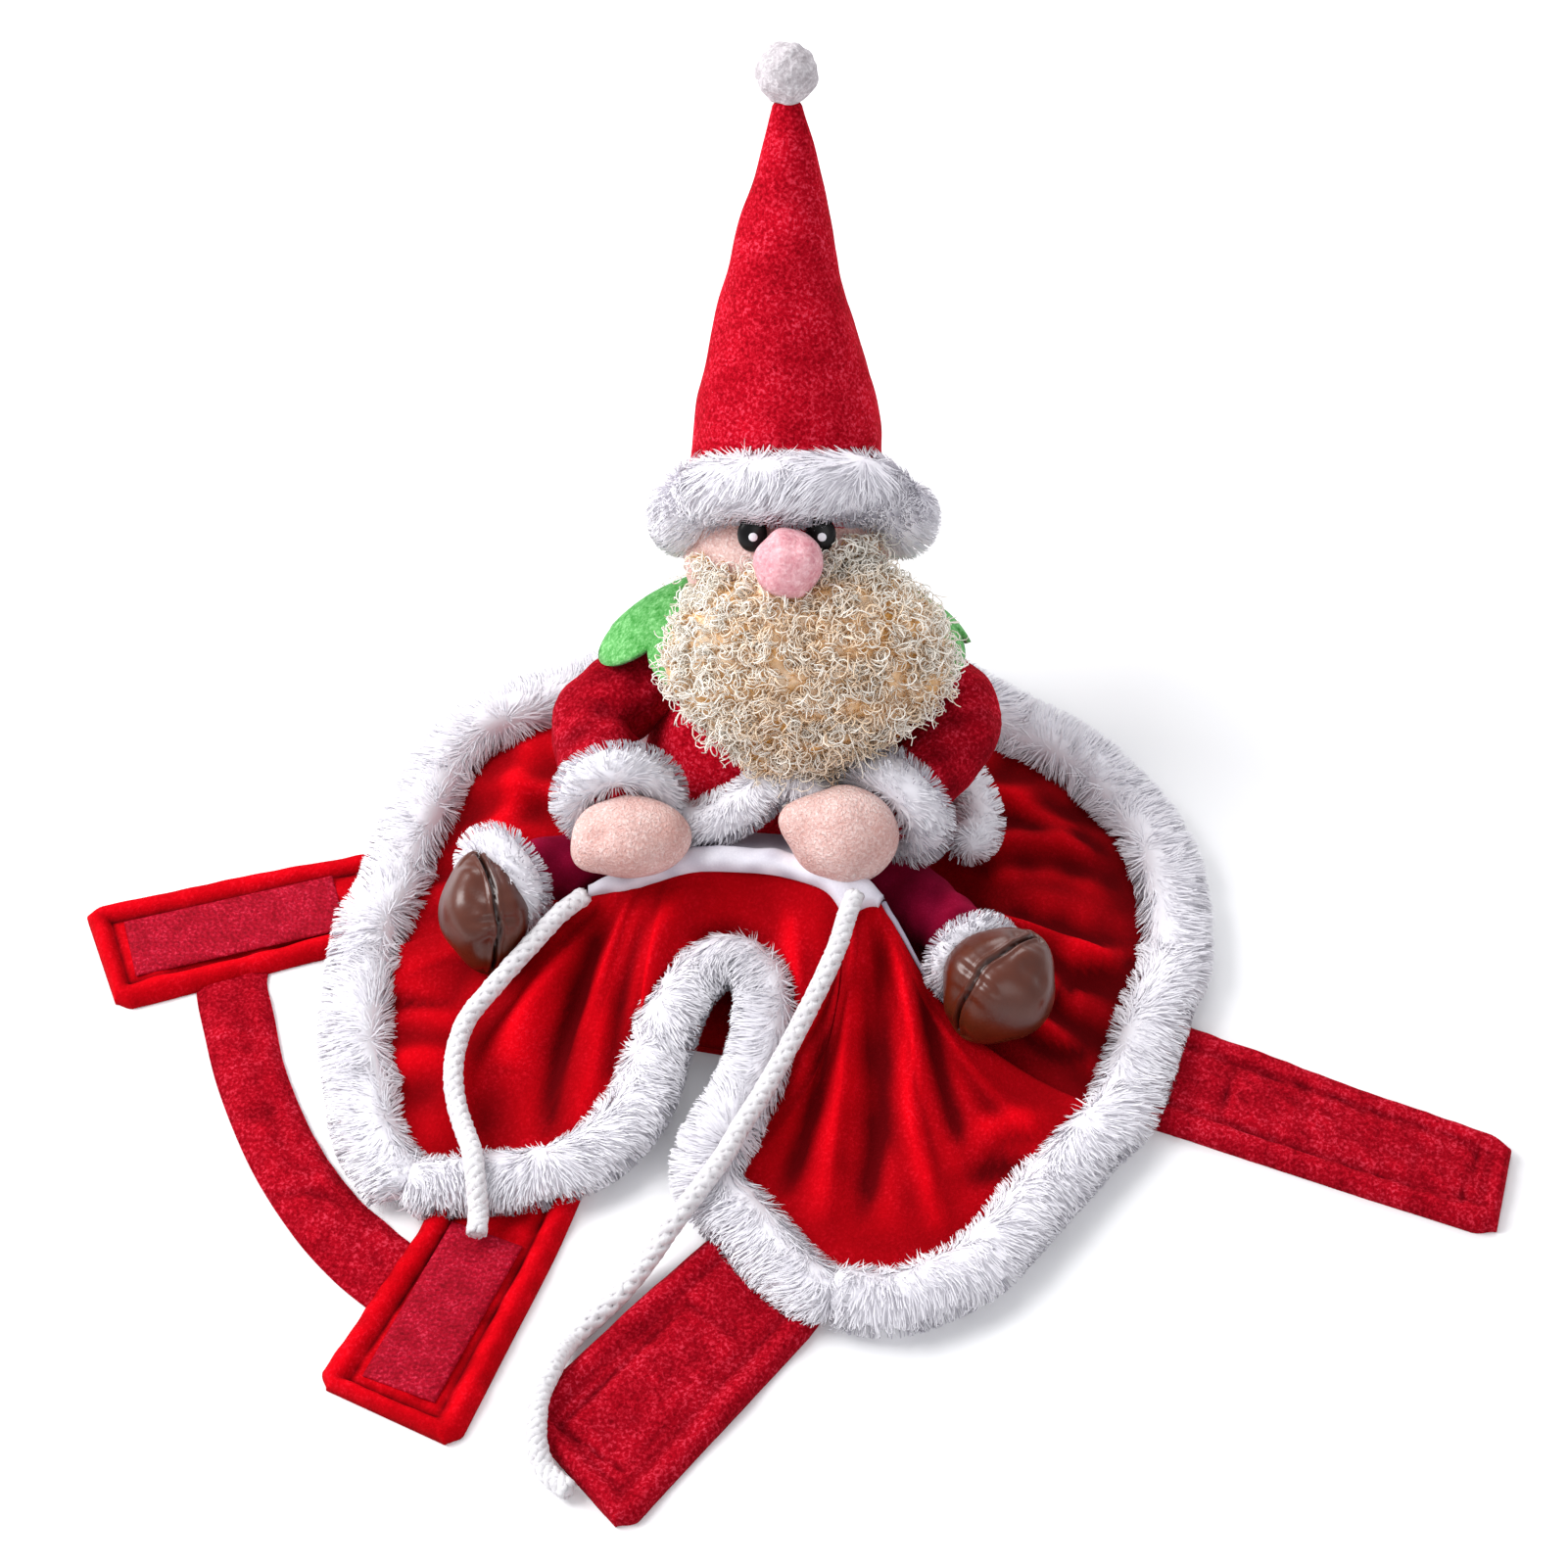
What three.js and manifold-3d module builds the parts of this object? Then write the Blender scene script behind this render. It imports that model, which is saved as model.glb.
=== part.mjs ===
// A dog's Santa costume laid out on a table: a red plush cape with fur trim, four
// straps, a chest strip, two cotton reins and a stuffed rider sewn on top.
// Millimetres, +Z up, the table at Z = 0, the neck of the cape towards -Y.

import * as THREE from 'three';
import { mergeVertices } from 'three/addons/utils/BufferGeometryUtils.js';
import Module from 'manifold-3d';

const wasm = await Module();
wasm.setup();

// Driving sizes
const GAP = 0.3;
const CLOTH = 3;
const LINING = 2;
const FELT = 1.8;
const TRIM = { across: 11.5, up: 8.2, foot: 0.85, slope: 0.414, cloth: 3.9 };
const STOP = 0.5;
const STRAP = { thick: 6, bed: 3.4, border: 8.5, tip: 7 };
const TAPE = { width: 25, thick: 1.2, lift: 3.8 };
const REIN_RADIUS = 3.5;
const CLOTH_UNDER = CLOTH + 0.4;
const TURN = Math.PI * 2;

// The rider's own frame: seat point, turn about Z, lean back from upright, size
const RIDER = { x: 1.4, y: 39.3, z: 6, turn: 12, lean: 28, size: 1.016 };

// Turns rows of numbers into objects with named columns
const table = (names, rows) => {
  const keys = names.split(' ');
  return rows.map((row) => Object.fromEntries(keys.map((key, i) => [key, row[i]])));
};

// Centre line of the fur along the hem, from the left front corner round the back
const HEM = table('x y z', [
  [-88, -139, 7], [-102, -124, 7], [-111, -105, 7], [-119, -87, 7], [-125, -59, 7],
  [-128, -39, 7], [-126, -20, 7], [-127, -1, 7], [-126, 20, 7], [-125, 38, 7],
  [-117, 60, 7], [-94, 81, 7], [-62, 103, 7], [-25, 118, 7], [15, 121, 7],
  [48, 114, 7], [70, 103, 7], [93, 93, 7], [113, 77, 7], [128, 59, 7],
  [138, 38, 7], [144, 4, 7], [141, -14, 7], [138, -40, 7], [135, -62, 7],
  [127, -76, 7], [120, -90, 7], [107, -116, 7], [99, -131, 7], [86, -143, 7],
  [74, -150, 7], [59, -151, 7],
]);
const HEM_LEFT_SLIT = 4.65;
const HEM_RIGHT_SLIT = 24.2;

// Centre line of the fur round the neck, from the left corner up the notch and down
const NECK = table('x y z across', [
  [-82, -139, 7, 10.5], [-60, -132, 7, 11.5], [-44, -126, 7, 11.5], [-29, -113, 7.5, 11.5],
  [-20, -95, 10, 11], [-18, -73, 13, 10.5], [-14, -51, 18, 10], [-2, -37, 22, 9.5],
  [11, -44, 20, 10], [15, -60, 15, 10], [14, -80, 10, 10.5], [8, -104, 7.5, 11],
  [10, -119, 7, 11.5], [24, -131, 7, 11.5], [40, -145, 7, 11.5], [54, -154, 7, 10.5],
]);

// The raised back edge of the front panel, from left to right
const RIDGE = table('x y z', [
  [-55, -20, 22], [-39, -16, 29], [-23, -11, 35], [-10, -9, 37],
  [10, -7, 37], [33, -11, 37], [45, -14, 34],
]);

// Front edge of the back panel, hidden under the front panel, from right to left
const UNDER_EDGE = table('x y', [
  [108, -78], [82, -80], [50, -66], [20, -62], [0, -62],
  [-20, -62], [-50, -62], [-80, -60], [-106, -54],
]);

// Gathers of the back panel: place along the hem in rows, height, width in rows,
// and how far from the middle each begins
const BACK_FOLDS = table('place height width start', [
  [6.0, 5, 0.4, 0.45], [7.5, 4, 0.5, 0.5], [9.0, 6, 0.5, 0.4], [10.5, 4, 0.4, 0.5],
  [12.0, 5, 0.5, 0.55], [14.0, 4, 0.5, 0.55], [16.0, 6, 0.5, 0.62], [17.5, 4, 0.4, 0.55],
  [19.0, 7, 0.5, 0.4], [20.5, 5, 0.4, 0.5], [21.5, 8, 0.4, 0.42], [22.5, 6, 0.3, 0.45],
  [23.3, 6, 0.26, 0.42],
]);

// Spokes of the front panel: place on the ridge, edge met (0 hem, 1 neck) and place
// along that edge, height of the gather, bow to the side and how fast it drops
const SPOKES = table('ridge edge at fold bow drop', [
  [0.0, 0, 4.65, 0, 6, 4.0], [0.12, 0, 4.0, 3, 4, 2.8], [0.3, 0, 3.3, 0, 2, 1.8],
  [0.4, 0, 2.5, 4, 0, 1.7], [0.55, 0, 1.5, 0, 0, 1.8], [0.7, 0, 0.5, 5, 0, 1.6],
  [0.85, 1, 1.0, 0, 0, 2.0], [1.0, 1, 1.9, 7, 1, 1.5], [1.15, 1, 2.8, 1, 3, 1.6],
  [1.3, 1, 3.9, 5, 4, 1.3], [1.6, 1, 4.9, 1, 2, 1.2], [2.05, 1, 5.9, 3, 0, 1.0],
  [2.8, 1, 6.5, 0, 0, 1.0], [3.4, 1, 7.0, 0, 0, 1.0], [4.0, 1, 7.5, 0, 0, 1.0],
  [4.5, 1, 8.1, 2, -2, 1.0], [4.75, 1, 9.1, 0, -6, 1.1], [4.82, 1, 10.0, 4, -10, 1.2],
  [4.89, 1, 11.0, 0, -13, 1.5], [4.96, 1, 12.1, 3, -11, 1.7], [5.08, 1, 13.1, 0, -6, 1.8],
  [5.2, 1, 14.2, 5, 0, 1.6], [5.3, 0, 30.5, 0, 0, 1.7], [5.42, 0, 29.3, 3, 0, 1.6],
  [5.55, 0, 28.0, 0, 0, 1.8], [5.68, 0, 26.8, 9, 2, 1.3], [5.82, 0, 25.6, 3, 5, 1.7],
  [6.0, 0, 24.2, 0, 8, 2.2],
]);

// Straps: both edges from the root under the fur to the far end
const BELLY_LEFT = table('ax ay bx by', [
  [-129, -1, -128, -45], [-145, -5, -141, -50], [-186, -26, -171, -68], [-229, -48, -203, -87],
]);
const BELLY_RIGHT = table('ax ay bx by', [
  [139, -17, 136, -61], [160, -21, 155, -64], [208, -33, 203, -73], [262, -45, 259, -83],
]);
const NECK_LEFT = table('ax ay bx by', [
  [-77, -132, -30, -119], [-78, -150, -33, -150], [-86, -182, -39, -188], [-94, -213, -45, -226],
]);
const NECK_RIGHT = table('ax ay bx by', [
  [19, -128, 55, -153], [10, -141, 52, -164], [-10, -175, 33, -202], [-30, -211, 12, -244],
]);
const CHEST_STRIP = table('x y half thick', [
  [-171, -55, 12, 2.4], [-169, -68, 12, 3], [-161, -84, 12, 5], [-149, -106, 11.5, 5],
  [-130, -132, 11.5, 5], [-110, -152, 12, 5], [-93, -164, 13, 3], [-79, -172, 13, 2.4],
]);

// Fastening tapes: start and end of the middle line
const LOOP_TAPES = {
  loop_tape_belly: { from: [-143, -27.4], to: [-207, -62.4] },
  loop_tape_neck: { from: [-56, -150], to: [-67.5, -211] },
};
const HOOK_TAPES = {
  hook_tape_belly: { from: [168, -45], to: [249, -62] },
  hook_tape_neck: { from: [23, -167], to: [-4, -219] },
};

// Routes of the two reins, from the hands to the ends of the neck straps
const REIN_LEFT = [
  [-54, -29, 31], [-60, -37, 30], [-65, -45, 27], [-71, -56, 24], [-77, -67, 20.5],
  [-82, -77, 17], [-83, -88, 14.5], [-81, -99, 13], [-77, -109, 12], [-72, -118, 13],
  [-67, -127, 16.5], [-64, -134, 17.5], [-61, -142, 15], [-59, -148, 11.5], [-58, -154, 10],
];
const REIN_RIGHT = [
  [37, -20, 43], [36, -28, 41.5], [35, -38, 38], [32, -50, 32.5], [28, -63, 26.5],
  [24, -76, 21.5], [20, -89, 18.5], [16, -102, 17], [13, -114, 16.5], [9, -126, 16.5],
  [3.5, -138, 13.5], [-3, -151, 7], [-10, -165, 4], [-19, -181, 4], [-21.5, -190, 6.6],
  [-22, -199, 10], [-23, -208, 10.4], [-22, -216, 9.6], [-20, -223, 7], [-15.5, -229.5, 4.3],
  [-8, -234, 4],
];

// The rider: rows give right, forward and up from the seat, then the half sizes
const JACKET = table('r w u across up', [
  [0, -2, -10, 50, 35], [0, -1, 8, 54, 38], [0, 0, 28, 50, 37], [0, 0, 46, 45, 33],
  [0, 0, 62, 40, 29], [0, 0, 76, 30, 24], [0, 0, 86, 18, 16],
]);
const SLEEVES = {
  sleeve_left: table('r w u across up', [
    [-34, 0, 60, 14.5, 14.5], [-51, 2, 50, 15.5, 15.5], [-65, 9, 40, 15.5, 15.5],
    [-63, 24, 32, 14.5, 14.5], [-57, 38, 26, 13, 13], [-55, 44, 23, 12, 12],
  ]),
  sleeve_right: table('r w u across up', [
    [36, 0, 61, 14.5, 14.5], [50, 2, 51, 15, 15], [59, 10, 41, 15, 15],
    [50, 24, 30, 14.5, 14.5], [38, 36, 22, 13, 13], [33, 42, 19, 12, 12],
  ]),
};
const CUFFS = {
  cuff_left: { r: -56, w: 41, u: 24.5, toward: [2, 16, -9], ring: 14, tube: 8.8 },
  cuff_right: { r: 35, w: 40, u: 21, toward: [-14, 16, -9], ring: 14, tube: 9.5 },
};
const HANDS = {
  hand_left: { r: -51.5, w: 56, u: 15.8, half: [20, 14.5, 13.8], tip: [-66, 57, 11, 6] },
  hand_right: { r: 19, w: 57, u: 16.6, half: [18, 15, 17], tip: [4, 56, 23, 6] },
};
const HEAD = { r: 0, w: 4, u: 100, half: [35.5, 34, 36] };
const EYES = { eye_left: -11.2, eye_right: 11.2 };
const EYE = { w: 35.5, u: 113.5, half: [5, 2.6, 6], glint: 1.5 };
const NOSE = { r: 0.6, w: 45, u: 106.5, radius: 11.8 };
const HAT = table('r w u across up', [
  [0, 0, 112, 35, 35], [0, 0, 124, 34, 33.5], [0, 0, 153, 29.3, 28.5], [-1, -1, 186, 20.9, 20.5],
  [0.3, -1, 218, 12.9, 12.7], [0.3, 0, 246, 5.2, 5.2],
]);
const POMPOM = { r: 0, w: 0, u: 257, radius: 11 };
const BRIM = table('r w u half', [
  [0, 33, 129, 12.5], [15, 30.5, 129, 12.5], [28, 22, 125, 12.5], [37, 6, 112, 13],
  [36, -12, 107, 12.5], [20, -28, 112, 11.5], [0, -32, 114, 11], [-20, -28, 112, 11.5],
  [-33, -12, 107, 12], [-33, 6, 112, 12.5], [-27, 22, 124, 12], [-15, 30.5, 129, 12],
]);
const BEARD = { r: 6.8, w: 32, u: 66, half: [51.5, 28.5, 42.5], taper: 0.36, aside: 0.09 };
const COLLAR = {
  u: 52, half: [64.5, 38, 39.5], neck: 0.5, back: 0.1, throat: 0.25,
  valley: 1.02, petal: 0.29, drop: 0.12, petals: 8, first: -97,
};
const BEHIND_BEARD = { half: [71, 43.5, 45.5] };

// Legs, ankle bands, boots and the fur round the jacket's hem, in the table's frame
const LEGS = {
  leg_left: table('x y z across up', [
    [-28, 24, 15, 13, 10.5], [-44, 10, 15.5, 13, 11], [-62, -4, 18, 12, 11],
    [-77, -17, 22, 11, 11], [-84, -29, 25, 10, 10],
  ]),
  leg_right: table('x y z across up', [
    [30, 22, 15, 13, 10.5], [46, 10, 16, 13, 11], [62, -3, 19, 12, 11],
    [75, -15, 23, 11, 11], [83, -25, 25, 10, 10],
  ]),
};
const ANKLES = {
  ankle_fur_left: { x: -83.2, y: -25.6, z: 28.6, toward: [-12, -18, 3], ring: 12, tube: 7.8 },
  ankle_fur_right: { x: 77.6, y: -22, z: 22.4, toward: [16, -17, 3], ring: 10.5, tube: 7 },
};
const BOOT_POINT = 0.1;
const BOOTS = {
  boot_left: { x: -85.8, y: -39.9, z: 27.2, half: [15.5, 19, 19.5], tilt: 6 },
  boot_right: { x: 89, y: -35, z: 27.5, half: [19.5, 19, 19.5], tilt: -40 },
};
const JACKET_FURS = {
  jacket_fur_front: table('x y z half', [
    [-34, 5.2, 34.6, 7], [-20, 2.6, 40.2, 8.8], [-8, 7.5, 46, 8.5], [5, 17, 53, 8], [19, 12, 49, 8], [34, 9, 38, 7],
  ]),
  jacket_fur_back: table('x y z half', [
    [-61, 21, 18, 7], [-65, 38, 13, 9], [-57, 61, 13, 9], [-36, 79, 13, 9], [0, 88, 13, 9],
    [37, 81, 13, 9], [58, 66, 13, 9], [68, 47, 14, 9], [68, 31, 21, 9],
  ]),
};

// Smooth value of one column, at a place counted in rows
function along(rows, key, place, closed = false) {
  const last = rows.length - 1;
  const first = closed ? Math.floor(place) : Math.min(Math.floor(place), last - 1);
  const at = (k) => {
    const i = closed ? ((k % rows.length) + rows.length) % rows.length : Math.max(0, Math.min(last, k));
    return rows[i][key];
  };
  const [a, b, c, d] = [at(first - 1), at(first), at(first + 1), at(first + 2)];
  const f = place - first;
  return b + 0.5 * f * (c - a + f * (2 * a - 5 * b + 4 * c - d + f * (3 * (b - c) + d - a)));
}

const spot = (rows, place, closed = false) =>
  new THREE.Vector3(...['x', 'y', 'z'].map((key) => along(rows, key, place, closed)));

const spotFlat = (rows, place) =>
  new THREE.Vector3(along(rows, 'x', place), along(rows, 'y', place), 0);

const ramp = (from, to, value) => THREE.MathUtils.smoothstep(value, from, to);

// The rider's axes in the table's frame
const lean = THREE.MathUtils.degToRad(RIDER.lean);
const turn = THREE.MathUtils.degToRad(RIDER.turn);
const RIGHT = new THREE.Vector3(Math.cos(turn), Math.sin(turn), 0);
const FRONT = new THREE.Vector3(Math.sin(turn) * Math.cos(lean), -Math.cos(turn) * Math.cos(lean), Math.sin(lean));
const UP = new THREE.Vector3().crossVectors(FRONT, RIGHT);

// A point of the rider, given right, forward and up from the seat
function onRider(r, w, u) {
  return new THREE.Vector3(RIDER.x, RIDER.y, RIDER.z)
    .addScaledVector(RIGHT, r * RIDER.size)
    .addScaledVector(FRONT, w * RIDER.size)
    .addScaledVector(UP, u * RIDER.size);
}

const riderRows = (rows) => rows.map((row) => {
  const p = onRider(row.r, row.w, row.u);
  return { ...row, x: p.x, y: p.y, z: p.z };
});

// A solid from loose triangles, with faces turned outwards
function solidOf(corners) {
  const loose = new THREE.BufferGeometry().setFromPoints(corners);
  const merged = mergeVertices(loose, 1e-3);
  const index = merged.getIndex().array;
  const place = merged.getAttribute('position');
  const kept = [];
  for (let i = 0; i < index.length; i += 3) {
    const [a, b, c] = [index[i], index[i + 1], index[i + 2]];
    if (a !== b && b !== c && c !== a) kept.push(a, b, c);
  }
  const at = (i) => new THREE.Vector3().fromBufferAttribute(place, i);
  let volume = 0;
  for (let i = 0; i < kept.length; i += 3) {
    volume += at(kept[i]).dot(at(kept[i + 1]).cross(at(kept[i + 2])));
  }
  if (volume < 0) kept.reverse();
  return new wasm.Manifold(new wasm.Mesh({
    numProp: 3,
    vertProperties: Float32Array.from(place.array),
    triVerts: Uint32Array.from(kept),
  }));
}

// A solid from a closed three.js geometry, placed by a matrix
function solidOfGeometry(geometry, matrix = new THREE.Matrix4()) {
  const plain = geometry.index ? geometry.toNonIndexed() : geometry;
  const place = plain.getAttribute('position');
  const corners = [];
  for (let i = 0; i < place.count; i += 1) {
    corners.push(new THREE.Vector3().fromBufferAttribute(place, i).applyMatrix4(matrix));
  }
  return solidOf(corners);
}

const quad = (corners, a, b, c, d) => corners.push(a, b, c, a, c, d);

// A tube through rings of points, closed on itself or capped at both ends
function loft(rings, closed = false) {
  const corners = [];
  const count = rings[0].length;
  const spans = closed ? rings.length : rings.length - 1;
  for (let i = 0; i < spans; i += 1) {
    const [low, high] = [rings[i], rings[(i + 1) % rings.length]];
    for (let k = 0; k < count; k += 1) {
      const n = (k + 1) % count;
      quad(corners, low[k], low[n], high[n], high[k]);
    }
  }
  if (!closed) {
    for (const [ring, flip] of [[rings[0], true], [rings[rings.length - 1], false]]) {
      const middle = ring.reduce((sum, p) => sum.add(p), new THREE.Vector3()).divideScalar(count);
      for (let k = 0; k < count; k += 1) {
        const [a, b] = [ring[k], ring[(k + 1) % count]];
        if (flip) corners.push(middle, b, a);
        else corners.push(middle, a, b);
      }
    }
  }
  return solidOf(corners);
}

const oval = (count) => Array.from({ length: count }, (_, k) => {
  const angle = (k / count) * TURN;
  return [Math.cos(angle), Math.sin(angle)];
});
const dome = (count) => oval(count).map(([a, b]) => [a, Math.max(b, -TRIM.foot)]);

// A sweep of a section along rows of centres with their half sizes; open ends are
// rounded by rings that shrink
function sweep(rows, { steps, section, closed = false, grow = 0, across = 'across', up = 'up', ends = 2 }) {
  const last = closed ? rows.length : rows.length - 1;
  const ring = (place, out, shrink) => {
    const step = 0.01;
    const here = spot(rows, place, closed);
    const [before, after] = closed ? [place - step, place + step]
      : [Math.max(0, place - step), Math.min(last, place + step)];
    const ahead = spot(rows, after, closed).sub(spot(rows, before, closed)).normalize();
    const side = new THREE.Vector3(ahead.y, -ahead.x, 0).normalize();
    const rise = new THREE.Vector3().crossVectors(side, ahead);
    const [a, b] = [across, up].map((key) => along(rows, key, place, closed) + grow);
    here.addScaledVector(ahead, out * (b + grow));
    return section.map(([s, t]) => here.clone()
      .addScaledVector(side, s * a * shrink)
      .addScaledVector(rise, t * b * shrink));
  };
  const rings = [];
  if (!closed) {
    for (let k = 0; k < ends; k += 1) {
      const angle = (1 - k / ends) * 1.25;
      rings.push(ring(0, -Math.sin(angle) * 0.55, Math.cos(angle)));
    }
  }
  const count = closed ? steps : steps + 1;
  for (let i = 0; i < count; i += 1) rings.push(ring((i / steps) * last, 0, 1));
  if (!closed) {
    for (let k = ends - 1; k >= 0; k -= 1) {
      const angle = (1 - k / ends) * 1.25;
      rings.push(ring(last, Math.sin(angle) * 0.55, Math.cos(angle)));
    }
  }
  return loft(rings, closed);
}

// A sheet solid between an upper and a lower surface over u and v from 0 to 1;
// with wrap its u edges meet, and a pole at v = 0 is one point
function sheet(upper, lower, { across, out, wrap = false, grow = 0 }) {
  const grid = (surface, lift) => {
    const points = [];
    for (let i = 0; i <= across; i += 1) {
      const line = [];
      for (let j = 0; j <= out; j += 1) {
        const p = surface(wrap && i === across ? 0 : i / across, j / out);
        p.z += lift;
        line.push(p);
      }
      points.push(line);
    }
    if (grow === 0) return points;
    const push = (edge, inner) => {
      const away = new THREE.Vector3().subVectors(edge, inner).setZ(0);
      if (away.length() > 1e-6) edge.addScaledVector(away.normalize(), grow);
    };
    const still = points.map((line) => line.map((p) => p.clone()));
    points.forEach((line, i) => push(line[out], still[i][out - 1]));
    if (!wrap) {
      for (let j = 0; j <= out; j += 1) {
        push(points[0][j], still[1][j]);
        push(points[across][j], still[across - 1][j]);
      }
      points.forEach((line, i) => push(line[0], still[i][1]));
    }
    return points;
  };
  const [top, under] = [grid(upper, grow), grid(lower, -grow)];
  const corners = [];
  for (let i = 0; i < across; i += 1) {
    for (let j = 0; j < out; j += 1) {
      quad(corners, top[i][j], top[i + 1][j], top[i + 1][j + 1], top[i][j + 1]);
      quad(corners, under[i][j], under[i][j + 1], under[i + 1][j + 1], under[i + 1][j]);
    }
    quad(corners, top[i][out], top[i + 1][out], under[i + 1][out], under[i][out]);
    quad(corners, top[i + 1][0], top[i][0], under[i][0], under[i + 1][0]);
  }
  if (!wrap) {
    for (let j = 0; j < out; j += 1) {
      quad(corners, top[0][j], top[0][j + 1], under[0][j + 1], under[0][j]);
      quad(corners, top[across][j + 1], top[across][j], under[across][j], under[across][j + 1]);
    }
  }
  return solidOf(corners);
}

// A ball, oval or egg with its own three half sizes along three axes; form bends the
// unit ball's points before that
function ball(centre, half, { axes = [RIGHT, FRONT, UP], grow = 0, detail = [16, 10], form = (p) => p } = {}) {
  const shape = new THREE.SphereGeometry(1, detail[0], detail[1]);
  const place = shape.getAttribute('position');
  for (let i = 0; i < place.count; i += 1) {
    const p = form(new THREE.Vector3().fromBufferAttribute(place, i));
    place.setXYZ(i, p.x, p.y, p.z);
  }
  const basis = axes.map((axis, k) => axis.clone().multiplyScalar(half[k] + grow));
  return solidOfGeometry(shape, new THREE.Matrix4().makeBasis(...basis).setPosition(centre));
}

// A ring of fur round a limb
function furRing(centre, toward, ringRadius, tubeRadius, grow) {
  const axis = toward.clone().normalize();
  const turned = new THREE.Quaternion().setFromUnitVectors(new THREE.Vector3(0, 0, 1), axis);
  const shape = new THREE.TorusGeometry(ringRadius, tubeRadius + grow, 6, 13);
  return solidOfGeometry(shape, new THREE.Matrix4().compose(centre, turned, new THREE.Vector3(1, 1, 1)));
}

// Height of the table or of the hidden back panel under the front panel
function floorUnder(x, y) {
  const rows = UNDER_EDGE;
  const last = rows.length - 1;
  let edge = x > rows[0].x ? rows[0].y : rows[last].y;
  for (let i = 0; i < last; i += 1) {
    const [a, b] = [rows[i], rows[i + 1]];
    if (x <= a.x && x >= b.x) edge = a.y + ((b.y - a.y) * (a.x - x)) / (a.x - b.x);
  }
  return CLOTH_UNDER * ramp(edge - 14, edge - 5, y);
}

// The cloth's edge beside a fur trim, a gap away from it, at a lift above the fold line
function beside(rows, place, lift) {
  const inward = rows === HEM ? 1 : -1;
  const at = (stop) => {
    const middle = spot(rows, stop);
    const last = rows.length - 1;
    const ahead = spot(rows, Math.min(last, stop + 0.01)).sub(spot(rows, Math.max(0, stop - 0.01)));
    const side = new THREE.Vector3(ahead.y, -ahead.x, 0).normalize().multiplyScalar(inward);
    const height = Math.max(middle.z - TRIM.cloth + lift, lift + CLOTH);
    const [across, gap] = rows === HEM ? [TRIM.across, GAP] : [along(rows, 'across', stop), 2.5 * GAP];
    const half = across * (1 - TRIM.slope * Math.abs(height - middle.z) / TRIM.up) + gap;
    return middle.addScaledVector(side, half).setZ(height);
  };
  const stop = Math.min(Math.floor(place / STOP) * STOP, rows.length - 1 - STOP);
  return at(stop).lerp(at(stop + STOP), (place - stop) / STOP);
}

// Places from one to another, with every stop between them
function stops(from, to) {
  const way = Math.sign(to - from);
  const inner = Array.from({ length: 80 }, (_, k) => k * STOP)
    .filter((place) => Math.abs(place - (from + to) / 2) < Math.abs(to - from) / 2 - 0.05);
  return [from, ...(way > 0 ? inner : inner.reverse()), to];
}

// Height of the back panel's gathers at a place along the hem
function backFold(place, v) {
  return BACK_FOLDS.reduce((sum, fold) => {
    const near = Math.exp(-(((place - fold.place) / fold.width) ** 2));
    return sum + fold.height * near * ramp(fold.start, fold.start + 0.25, v) * (1 - 0.8 * ramp(0.8, 1, v));
  }, 0);
}

// Columns of the back panel: round the hem, then back under the front panel
const BACK_COLUMNS = [
  ...stops(HEM_LEFT_SLIT, HEM_RIGHT_SLIT).map((place) => ({
    edge: beside(HEM, place, Math.max(0, CLOTH + backFold(place, 1) - (7 - TRIM.cloth))),
    fold: (v) => backFold(place, v),
  })),
  ...UNDER_EDGE.map((row) => ({ edge: new THREE.Vector3(row.x, row.y, 0), fold: () => 0 })),
];
const BACK_MIDDLE = new THREE.Vector3(2, 30, 0);

function backTop(u, v) {
  const column = BACK_COLUMNS[Math.round(u * BACK_COLUMNS.length) % BACK_COLUMNS.length];
  return new THREE.Vector3().lerpVectors(BACK_MIDDLE, column.edge, v).setZ(CLOTH + column.fold(v));
}

function backUnder(u, v) {
  const p = backTop(u, v);
  return p.setZ(Math.max(0, p.z - CLOTH));
}

// One running number along the front panel's whole edge: hem, neck, hem
const runOf = (edge, at) => {
  if (edge) return 5 + at;
  return at < HEM.length / 2 ? HEM_LEFT_SLIT - at : 21 + (HEM.length - 1 - at);
};
const SPOKE_RUNS = SPOKES.map((row) => runOf(row.edge, row.at));

// A column of the spokes table at a running number
function spokeAt(key, run) {
  const next = Math.max(1, SPOKE_RUNS.findIndex((value) => value >= run - 1e-9));
  const share = (run - SPOKE_RUNS[next - 1]) / (SPOKE_RUNS[next] - SPOKE_RUNS[next - 1]);
  return THREE.MathUtils.lerp(SPOKES[next - 1][key], SPOKES[next][key], Math.min(1, Math.max(0, share)));
}

// Columns of the front panel: down the left hem, along the neck, up the right hem
const FRONT_COLUMNS = [
  ...stops(HEM_LEFT_SLIT, STOP).map((at) => ({ rows: HEM, edge: 0, at })),
  ...stops(STOP, NECK.length - 1 - STOP).map((at) => ({ rows: NECK, edge: 1, at })),
  ...stops(HEM.length - 1, HEM_RIGHT_SLIT).map((at) => ({ rows: HEM, edge: 0, at })),
].map(({ rows, edge, at }) => {
  const run = runOf(edge, at);
  const middle = spot(rows, at);
  const outer = beside(rows, at, floorUnder(middle.x, middle.y));
  const inner = spot(RIDGE, spokeAt('ridge', run));
  return { outer, inner, fold: spokeAt('fold', run), bow: spokeAt('bow', run), drop: spokeAt('drop', run) };
});

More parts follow.
